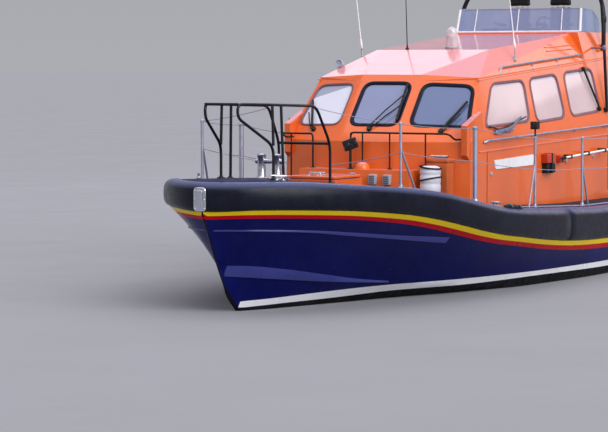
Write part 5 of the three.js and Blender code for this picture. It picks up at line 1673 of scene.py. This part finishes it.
def make_mast():
    build = Build()
    s, y, z = MAST["s"], MAST["y"], MAST["z"]
    half = [at(s, y, z), at(s, y, 4.0), at(9.79, 1.12, 4.3), at(9.9, 0.56, 4.755)]
    build.tube(half, MAST["radius"] * 0.98, BLACK_TUBE, sides=20, bend=0.16)
    build.turned([(0.036, -0.034), (0.042, -0.028), (0.042, 0.028), (0.036, 0.034)], at(s, y, z), (0, 1, 0),
                 BLACK_TUBE)
    build.turned([(0.016, 0.0), (0.016, 0.008), (0, 0.01)], at(s, y + 0.034, z), (0, 1, 0), STEEL, sides=6)
    build.turned([(0.037, -0.05), (0.043, -0.04), (0.043, 0.04), (0.037, 0.05)], at(s, y, 3.85), UP,
                 BLACK_TUBE)
    build.turned([(0.055, 0), (0.06, 0.02), (0.045, 0.06), (0, 0.075)], at(9.76, 0.46, 4.786), UP, WHITE)
    build.mirror()
    build.tube([at(9.814, -0.996, 4.4), at(9.814, 0.996, 4.4)], 0.028, BLACK_TUBE, sides=16)
    build.box(PLATFORM["s"], (-PLATFORM["half"], PLATFORM["half"]), PLATFORM["z"], BLACK_TUBE, edge=0.012,
              segments=3)
    for y in (-0.4, 0, 0.4):
        build.box((9.7, 10.1), (y - 0.012, y + 0.012), (4.722, 4.756), BLACK_TUBE, edge=0.003)
    for y, top in ((0.42, 5.18), (-0.42, 5.0)):
        build.tube([at(10.08, y, 4.78), at(10.08, y, top)], 0.019, BLACK_TUBE, sides=14)
        build.turned([(0.022, 0), (0.032, 0.004), (0.032, 0.012), (0.026, 0.014), (0.026, 0.05),
                      (0.032, 0.052), (0.03, 0.06),
                      (0, 0.064)], at(10.08, y, top), UP, WHITE, sides=20)
    for y in (-0.62, 0.62):
        build.box((9.8, 9.86), (y - 0.07, y + 0.07), (4.425, 4.53), BLACK, edge=0.014, segments=3)
        for across in (-0.032, 0.032):
            build.turned([(0.03, -0.01), (0.03, 0.008), (0.026, 0.01), (0, 0.004)],
                         at(9.8, y + across, 4.477), (1, 0, 0),
                         CLEAR, sides=18)
    build.turned([(0.018, -0.09), (0.02, 0.0), (0.034, 0.07), (0.066, 0.13), (0.068, 0.134), (0.056, 0.12),
                  (0, 0.05)],
                 at(9.8, 0.25, 4.46), (1, 0, 0), STEEL)
    build.place("mast_frame", body="mast", slot="black_tube", replaces=("mast",))

    build = Build()
    shell = [(0.2, 0.001), (0.27, 0.004), (0.288, 0.016), (0.304, 0.05), (0.309, 0.06), (0.309, 0.066),
             (0.304, 0.07),
             (0.302, 0.12), (0.296, 0.15), (0.27, 0.178), (0.2, 0.21), (0.1, 0.228), (0, 0.2345)]
    build.turned(shell, at(9.9, 0, 4.79), UP, WHITE, sides=48)
    build.place("radome_shell", body="mast", slot="white_gloss", replaces=("radome",), sharp=50)


FLY_WHEEL = dict(s=9.47, y=0.36, z=3.75, radius=0.15, tilt=0.4)


def steering_wheel(build, centre, tilt, radius):
    """A rim on three spokes, its hub's axle leaning back by tilt."""
    axis = Vector((-math.cos(tilt), 0, math.sin(tilt)))
    up = Vector((math.sin(tilt), 0, math.cos(tilt)))

    def way(a):
        return up * math.cos(a) + Vector((0, 1, 0)) * math.sin(a)
    build.tube([centre + way(math.tau * k / 40) * radius for k in range(40)], 0.0135, BLACK, sides=12,
               closed=True)
    for degrees in (0, 120, 240):
        spoke = way(math.radians(degrees))
        build.tube([centre + spoke * 0.02, centre + spoke * radius], [0.011, 0.008], STEEL, sides=10)
    build.turned([(0.028, -0.0115), (0.032, -0.006), (0.032, 0.006), (0.022, 0.0115), (0, 0.012)], centre,
                 axis, BLACK)
    return axis


def dial(build, place, axis, radius):
    build.turned([(radius, -0.01), (radius, 0.008), (radius * 0.88, 0.012), (radius * 0.82, 0.006),
                  (0, 0.006)], place, axis,
                 GREY, sides=24)


def make_flybridge_helm():
    build = Build()
    centre = at(FLY_WHEEL["s"], FLY_WHEEL["y"], FLY_WHEEL["z"])
    axis = steering_wheel(build, centre, FLY_WHEEL["tilt"], FLY_WHEEL["radius"])
    build.place("flybridge_wheel_rim", body="flybridge_wheel", slot="seat_black",
                replaces=("flybridge_wheel",))

    build = Build()
    build.box((9.321, 9.394), (-0.698, 0.698), (3.2905, 3.718), BLACK, edge=0.02, segments=3)
    build.tube([centre - axis * 0.12, centre - axis * 0.0135], 0.029, BLACK, sides=18)
    for y in (0.1, -0.3, 0.62):
        dial(build, at(9.395, y, 3.62), (-1, 0, 0), 0.042)
    build.box((9.392, 9.402), (-0.22, 0.02), (3.5, 3.69), SCREEN_BLACK, edge=0.003)
    for k in range(6):
        y = -0.6 + k * 0.045
        build.box((9.392, 9.41), (y, y + 0.025), (3.6, 3.625), GREY, edge=0.003)
    build.tube([at(9.36, -0.48, 3.71), at(9.4, -0.48, 3.8)], 0.009, STEEL)
    build.turned([(0.018, 0), (0.022, 0.012), (0.018, 0.026), (0, 0.03)], at(9.4, -0.48, 3.795), UP, BLACK)
    build.place("flybridge_console_body", slot="seat_black", replaces=("flybridge_console",))


# Cabin
CONSOLE_FACE = ((5.65, 1.5), (5.56, 1.98))  # station and height at the foot and head of its after face


def on_console(y, part, lift=0.0):
    (s0, z0), (s1, z1) = CONSOLE_FACE
    return at(s0 + (s1 - s0) * part, y, z0 + (z1 - z0) * part) + Vector((-0.983, 0, 0.184)) * lift


def make_cabin():
    build = Build()
    for y in (-0.75, 0.0, 0.75):
        face = [on_console(y + across, part, 0.001)
                for across, part in ((0.22, 0.3), (-0.22, 0.3), (-0.22, 0.92), (0.22, 0.92))]
        build.plate(face[::-1], 0.014, SCREEN_BLACK, edge=0.005)
    for y in (-0.38, 0.38):
        for part in (0.3, 0.55, 0.8):
            dial(build, on_console(y, part, 0.002), (-0.983, 0, 0.184), 0.036)
    centre = at(5.86, 0.72, 1.5)
    axis = steering_wheel(build, centre, 0.35, 0.17)
    build.tube([centre - axis * 0.3, centre - axis * 0.012], 0.026, BLACK, sides=14)
    build.place("helm_instruments", slot="console_grey")


SEAT_STATIONS = (6.4, 7.55, 8.7)
FLY_SEAT = dict(s=9.79, y=0.36, floor=3.3, height=0.3, scale=0.85)
PAD_VOXEL = 0.011


def simulated_pad(name, size, swell, seam):
    """One crowned pad about its own centre: a soft form blown up as cloth, then pulled in at its seams."""
    build = Build()
    lo = [-v / 2 + swell * 0.75 for v in size]
    hi = [v / 2 - swell * 0.75 for v in size]
    build.block(box_corners(lo, hi), VINYL, edge=min(size) * 0.26, segments=4)
    bmesh.ops.recalc_face_normals(build.bm, faces=build.bm.faces)
    mesh = bpy.data.meshes.new(name)
    build.bm.to_mesh(mesh)
    build.bm.free()
    pad = bpy.data.objects.new(name, mesh)
    bpy.context.scene.collection.objects.link(pad)
    remesh = pad.modifiers.new("voxels", "REMESH")
    remesh.mode = "VOXEL"
    remesh.voxel_size = PAD_VOXEL
    graph = bpy.context.evaluated_depsgraph_get()
    pad.data = bpy.data.meshes.new_from_object(pad.evaluated_get(graph))
    pad.modifiers.clear()
    before = [v.co.copy() for v in pad.data.vertices]
    cloth = pad.modifiers.new("cloth", "CLOTH")
    cloth.settings.use_pressure = True
    cloth.settings.uniform_pressure_force = 4.0
    cloth.settings.effector_weights.gravity = 0.0
    cloth.settings.mass = 0.3
    for number in range(1, 21):
        bpy.context.scene.frame_set(number)
    graph = bpy.context.evaluated_depsgraph_get()
    pad.data = bpy.data.meshes.new_from_object(pad.evaluated_get(graph))
    pad.modifiers.clear()
    bpy.context.scene.frame_set(1)
    places = []
    for v, start in zip(pad.data.vertices, before):
        move = v.co - start
        if move.length > swell:
            move *= swell / move.length
        place = start + move
        for axis, line in seam:
            pinch = math.exp(-((place[axis] - line) / 0.012) ** 2)
            place = place * (1 - 0.045 * pinch)
        places.append(place)
    faces = [tuple(p.vertices) for p in pad.data.polygons]
    bpy.data.objects.remove(pad)
    return places, faces


SEAT_TRACKS = (  # reach across, top, material, rounding
    (-0.12, -0.085, 0.78, STEEL, 0.004), (0.085, 0.12, 0.78, STEEL, 0.004),
    (-0.09, 0.09, 0.757, GREY, 0.002),
)


def make_seats():
    thin, wide = 0.105, 0.46
    pads = {
        "cushion": simulated_pad("cushion", (0.48, 0.48, 0.12), 0.02, ((1, -0.13), (1, 0.13), (0, 0.0))),
        "back": simulated_pad("back", (thin, wide, 0.6), 0.018, ((1, -0.12), (1, 0.12), (2, 0.1))),
        "headrest": simulated_pad("headrest", (0.09, 0.28, 0.2), 0.014, ((2, 0.0),)),
    }

    def seats(name, stations, y, floor, height, scale, head_wide):
        z = floor + height
        lean = math.atan2(0.075, 0.6)
        homes = {
            "cushion": lambda s: Matrix.Translation(at(s - 0.02 * scale, y,
                                                       z - 0.02)) @ Matrix.Diagonal((scale, scale, 1, 1)),
            "back": lambda s: Matrix.Translation(at(s + 0.2625 * scale, y, z - 0.03 + 0.3 * scale))
            @ Matrix.Rotation(-lean, 4, "Y") @ Matrix.Diagonal((scale, scale, scale, 1)),
            "headrest": lambda s: Matrix.Translation(at(s + 0.29 * scale, y, z + 0.66 * scale))
            @ Matrix.Diagonal((scale, head_wide, scale, 1)),
        }
        for part, home in homes.items():
            places, faces = pads[part]
            build = Build()
            for s in stations:
                matrix = home(s)
                build.faces([matrix @ p for p in places], faces, VINYL)
            pad = build.place(f"{part}s_{name}", slot="seat_black", sharp=60)

    def frames(build, stations, y, floor, height, scale):
        z = floor + height
        for s in stations:
            build.turned([(0.13 * scale, 0), (0.13 * scale, 0.012), (0.07, 0.03), (0.05, 0.06),
                          (0.05, height - 0.14),
                          (0.09, height - 0.1), (0.16 * scale, height - 0.085)], at(s, y, floor), UP, GREY,
                          sides=24)
            back = at(s + 0.3 * scale, y, z + 0.27 * scale)
            for across in (-0.17 * scale, 0.17 * scale):
                low = at(s + 0.14 * scale, y + across, z - 0.07)
                line = [low, at(s + 0.31 * scale, y + across, z - 0.07),
                        at(s + 0.36 * scale, y + across, z + 0.48 * scale)]
                build.tube(line, 0.012, STEEL, sides=10, bend=0.08)
            for across in (-0.05, 0.05):
                build.tube([at(s + 0.3 * scale, y + across, z + 0.5 * scale),
                            at(s + 0.29 * scale, y + across, z + 0.6 * scale)],
                           0.006, STEEL, sides=8)
            for across in (-0.262 * scale, 0.262 * scale):
                arm = [at(s + 0.26 * scale, y + across, z + 0.2 * scale),
                       at(s - 0.16 * scale, y + across, z + 0.22 * scale)]
                build.tube([arm[0], arm[0].lerp(arm[1], 0.1), arm[0].lerp(arm[1], 0.9), arm[1]],
                           [0.012, 0.024, 0.026, 0.012],
                           VINYL_HARD, sides=12)
                build.tube([arm[0], Vector((arm[0].x, y + across * 0.7, arm[0].z - 0.02)), back], 0.009,
                           STEEL, sides=8)

    for name, side in (("port", 1), ("starboard", -1)):
        y, floor = side * 0.72, 0.76
        build = Build()
        for inner, outer, top, material, edge in SEAT_TRACKS:
            build.box((6.2, 8.9), (y + inner, y + outer), (0.7505, top), material, edge=edge)
        frames(build, SEAT_STATIONS, y, floor, 0.56, 1.0)
        build.place(f"seat_frames_{name}", slot="seat_black", replaces=(f"crew_seats_{name}",))
        seats(name, SEAT_STATIONS, y, floor, 0.56, 1.0, 1.0)

    s, floor, height, scale = (FLY_SEAT[k] for k in ("s", "floor", "height", "scale"))
    build = Build()
    build.box((s - 0.12, s + 0.12), (-0.5, 0.5), (3.2905, 3.318), STEEL, edge=0.006)
    for side in (-1, 1):
        frames(build, (s,), side * FLY_SEAT["y"], floor, height, scale)
    build.place("seat_frames_flybridge", slot="seat_black", replaces=("flybridge_seats",))
    for name, side in (("fly_port", 1), ("fly_starboard", -1)):
        seats(name, (s,), side * FLY_SEAT["y"], floor, height, scale, 1.39)


# Stern
def make_door_details():
    face = 10.646
    build = Build()
    half, low, high = 0.23, 2.05, 2.7
    corners = ((-half, low), (-half, high), (half, high), (half, low))
    ring = softened([at(face, y, z) for y, z in corners], 0.06, closed=True)
    build.tube(ring, 0.012, SEAL, sides=8, closed=True)
    for z in (1.42, 2.7):
        build.box((face - 0.001, face + 0.012), (-0.37, -0.2), (z + 0.01, z + 0.07), STEEL, edge=0.004)
    handle(build, at(face, 0.29, 2.3), UP, Vector((-1, 0, 0)), reach=0.14)
    build.box((face - 0.001, face + 0.016), (0.24, 0.32), (1.72, 1.86), STEEL, edge=0.006)
    lever = [at(face + out, y, 1.79) for out, y in ((0.014, 0.28), (0.04, 0.28), (0.045, 0.17))]
    build.tube(lever, 0.01, STEEL, bend=0.015)
    build.box((face - 0.001, face + 0.005), (-0.3, 0.3), (1.22, 1.5), STEEL, edge=0.003)
    build.place("door_furniture", body="door", slot="stainless")

    build = Build()
    wall = AFT_WALL
    for side in (-1, 1):
        handle(build, at(wall, side * 0.62, 2.0), UP, Vector((-1, 0, 0)), radius=0.014, reach=0.45,
               height=0.07)
        build.box((wall - 0.002, wall + 0.05), (side * 0.85, side * 1.15), (1.5, 1.95), WHITE, edge=0.02,
                  segments=3)
        build.turned([(0.05, 0), (0.055, 0.03), (0.045, 0.05), (0, 0.056)], at(wall, side * 1.0, 2.3),
                     (-1, 0, 0), CLEAR)
    build.place("bulkhead_fittings", slot="stainless")


def make_engines():
    def engine(build):
        y, floor = JET_Y, -0.1297
        build.box((10.8, 12.05), (y - 0.36, y + 0.36), (floor, floor + 0.26), ENGINE, edge=0.06, segments=3)
        build.box((10.82, 12.03), (y - 0.26, y + 0.26), (floor + 0.2, 0.62), ENGINE, edge=0.04, segments=3)
        for bank in (-1, 1):
            for k in range(6):
                s = 10.86 + k * 0.19
                build.box((s, s + 0.165), (y + bank * 0.27, y + bank * 0.07), (0.6, 0.78), ENGINE,
                          edge=0.03, segments=3)
                port = [at(s + 0.08, y + bank * w, z) for w, z in ((0.2, 0.68), (0.32, 0.66), (0.34, 0.5))]
                build.tube(port, 0.03, CAST, bend=0.05)
            build.tube([at(10.84, y + bank * 0.34, 0.5), at(12.0, y + bank * 0.34, 0.5)], 0.05, CAST,
                       sides=18)
        build.tube([at(10.86, y, 0.81), at(11.9, y, 0.81), at(12.02, y, 0.7)], 0.06, CAST, sides=18,
                   bend=0.08)
        build.turned([(0.06, -0.1), (0.13, -0.08), (0.145, 0), (0.13, 0.08), (0.06, 0.1)],
                     at(11.95, y, 0.68), (0, 1, 0), CAST)
        for z, radius in ((0.1, 0.14), (0.42, 0.09)):
            build.turned([(radius, -0.03), (radius, 0.0), (radius * 0.9, 0.012), (radius * 0.3, 0.014),
                          (0, 0.014)],
                         at(10.79, y, z), (1, 0, 0), BLACK)
    both_sides("engine_block", engine, slot="engine_grey", replaces=("engine",))


def make_stern_details():
    def fittings(build):
        for k in range(12):
            a = math.tau * (k + 0.5) / 12
            place = at(12.9303, JET_Y + 0.248 * math.cos(a), JET_Z + 0.248 * math.sin(a))
            build.turned([(0.015, 0), (0.015, 0.009), (0, 0.011)], place, (-1, 0, 0), STEEL, sides=6)
        for y, z in ((1.45, 0.3), (1.62, 0.3)):
            build.turned([(0.07, -0.01), (0.07, 0.008), (0.05, 0.012), (0.045, -0.02), (0, -0.02)],
                         at(STERN, y, z), (-1, 0, 0),
                         BLACK, sides=24)
    both_sides("transom_fittings", fittings, slot="stainless")


make_camera()
make_light()
make_floor()
make_hull()
make_fenders()
make_stem_plate()
make_spray_rails()
make_windows()
make_house()
make_pulpit()
make_guard_rails()
make_stern_rail()
make_hand_rails()
make_deck_fittings()
make_hatch_details()
make_bitts()
make_trunk_vents()
make_canister()
make_front_rails()
make_wipers()
make_side_details()
make_roof_details()
make_windscreen()
make_searchlight()
make_mast()
make_flybridge_helm()
make_cabin()
make_seats()
make_door_details()
make_engines()
make_stern_details()
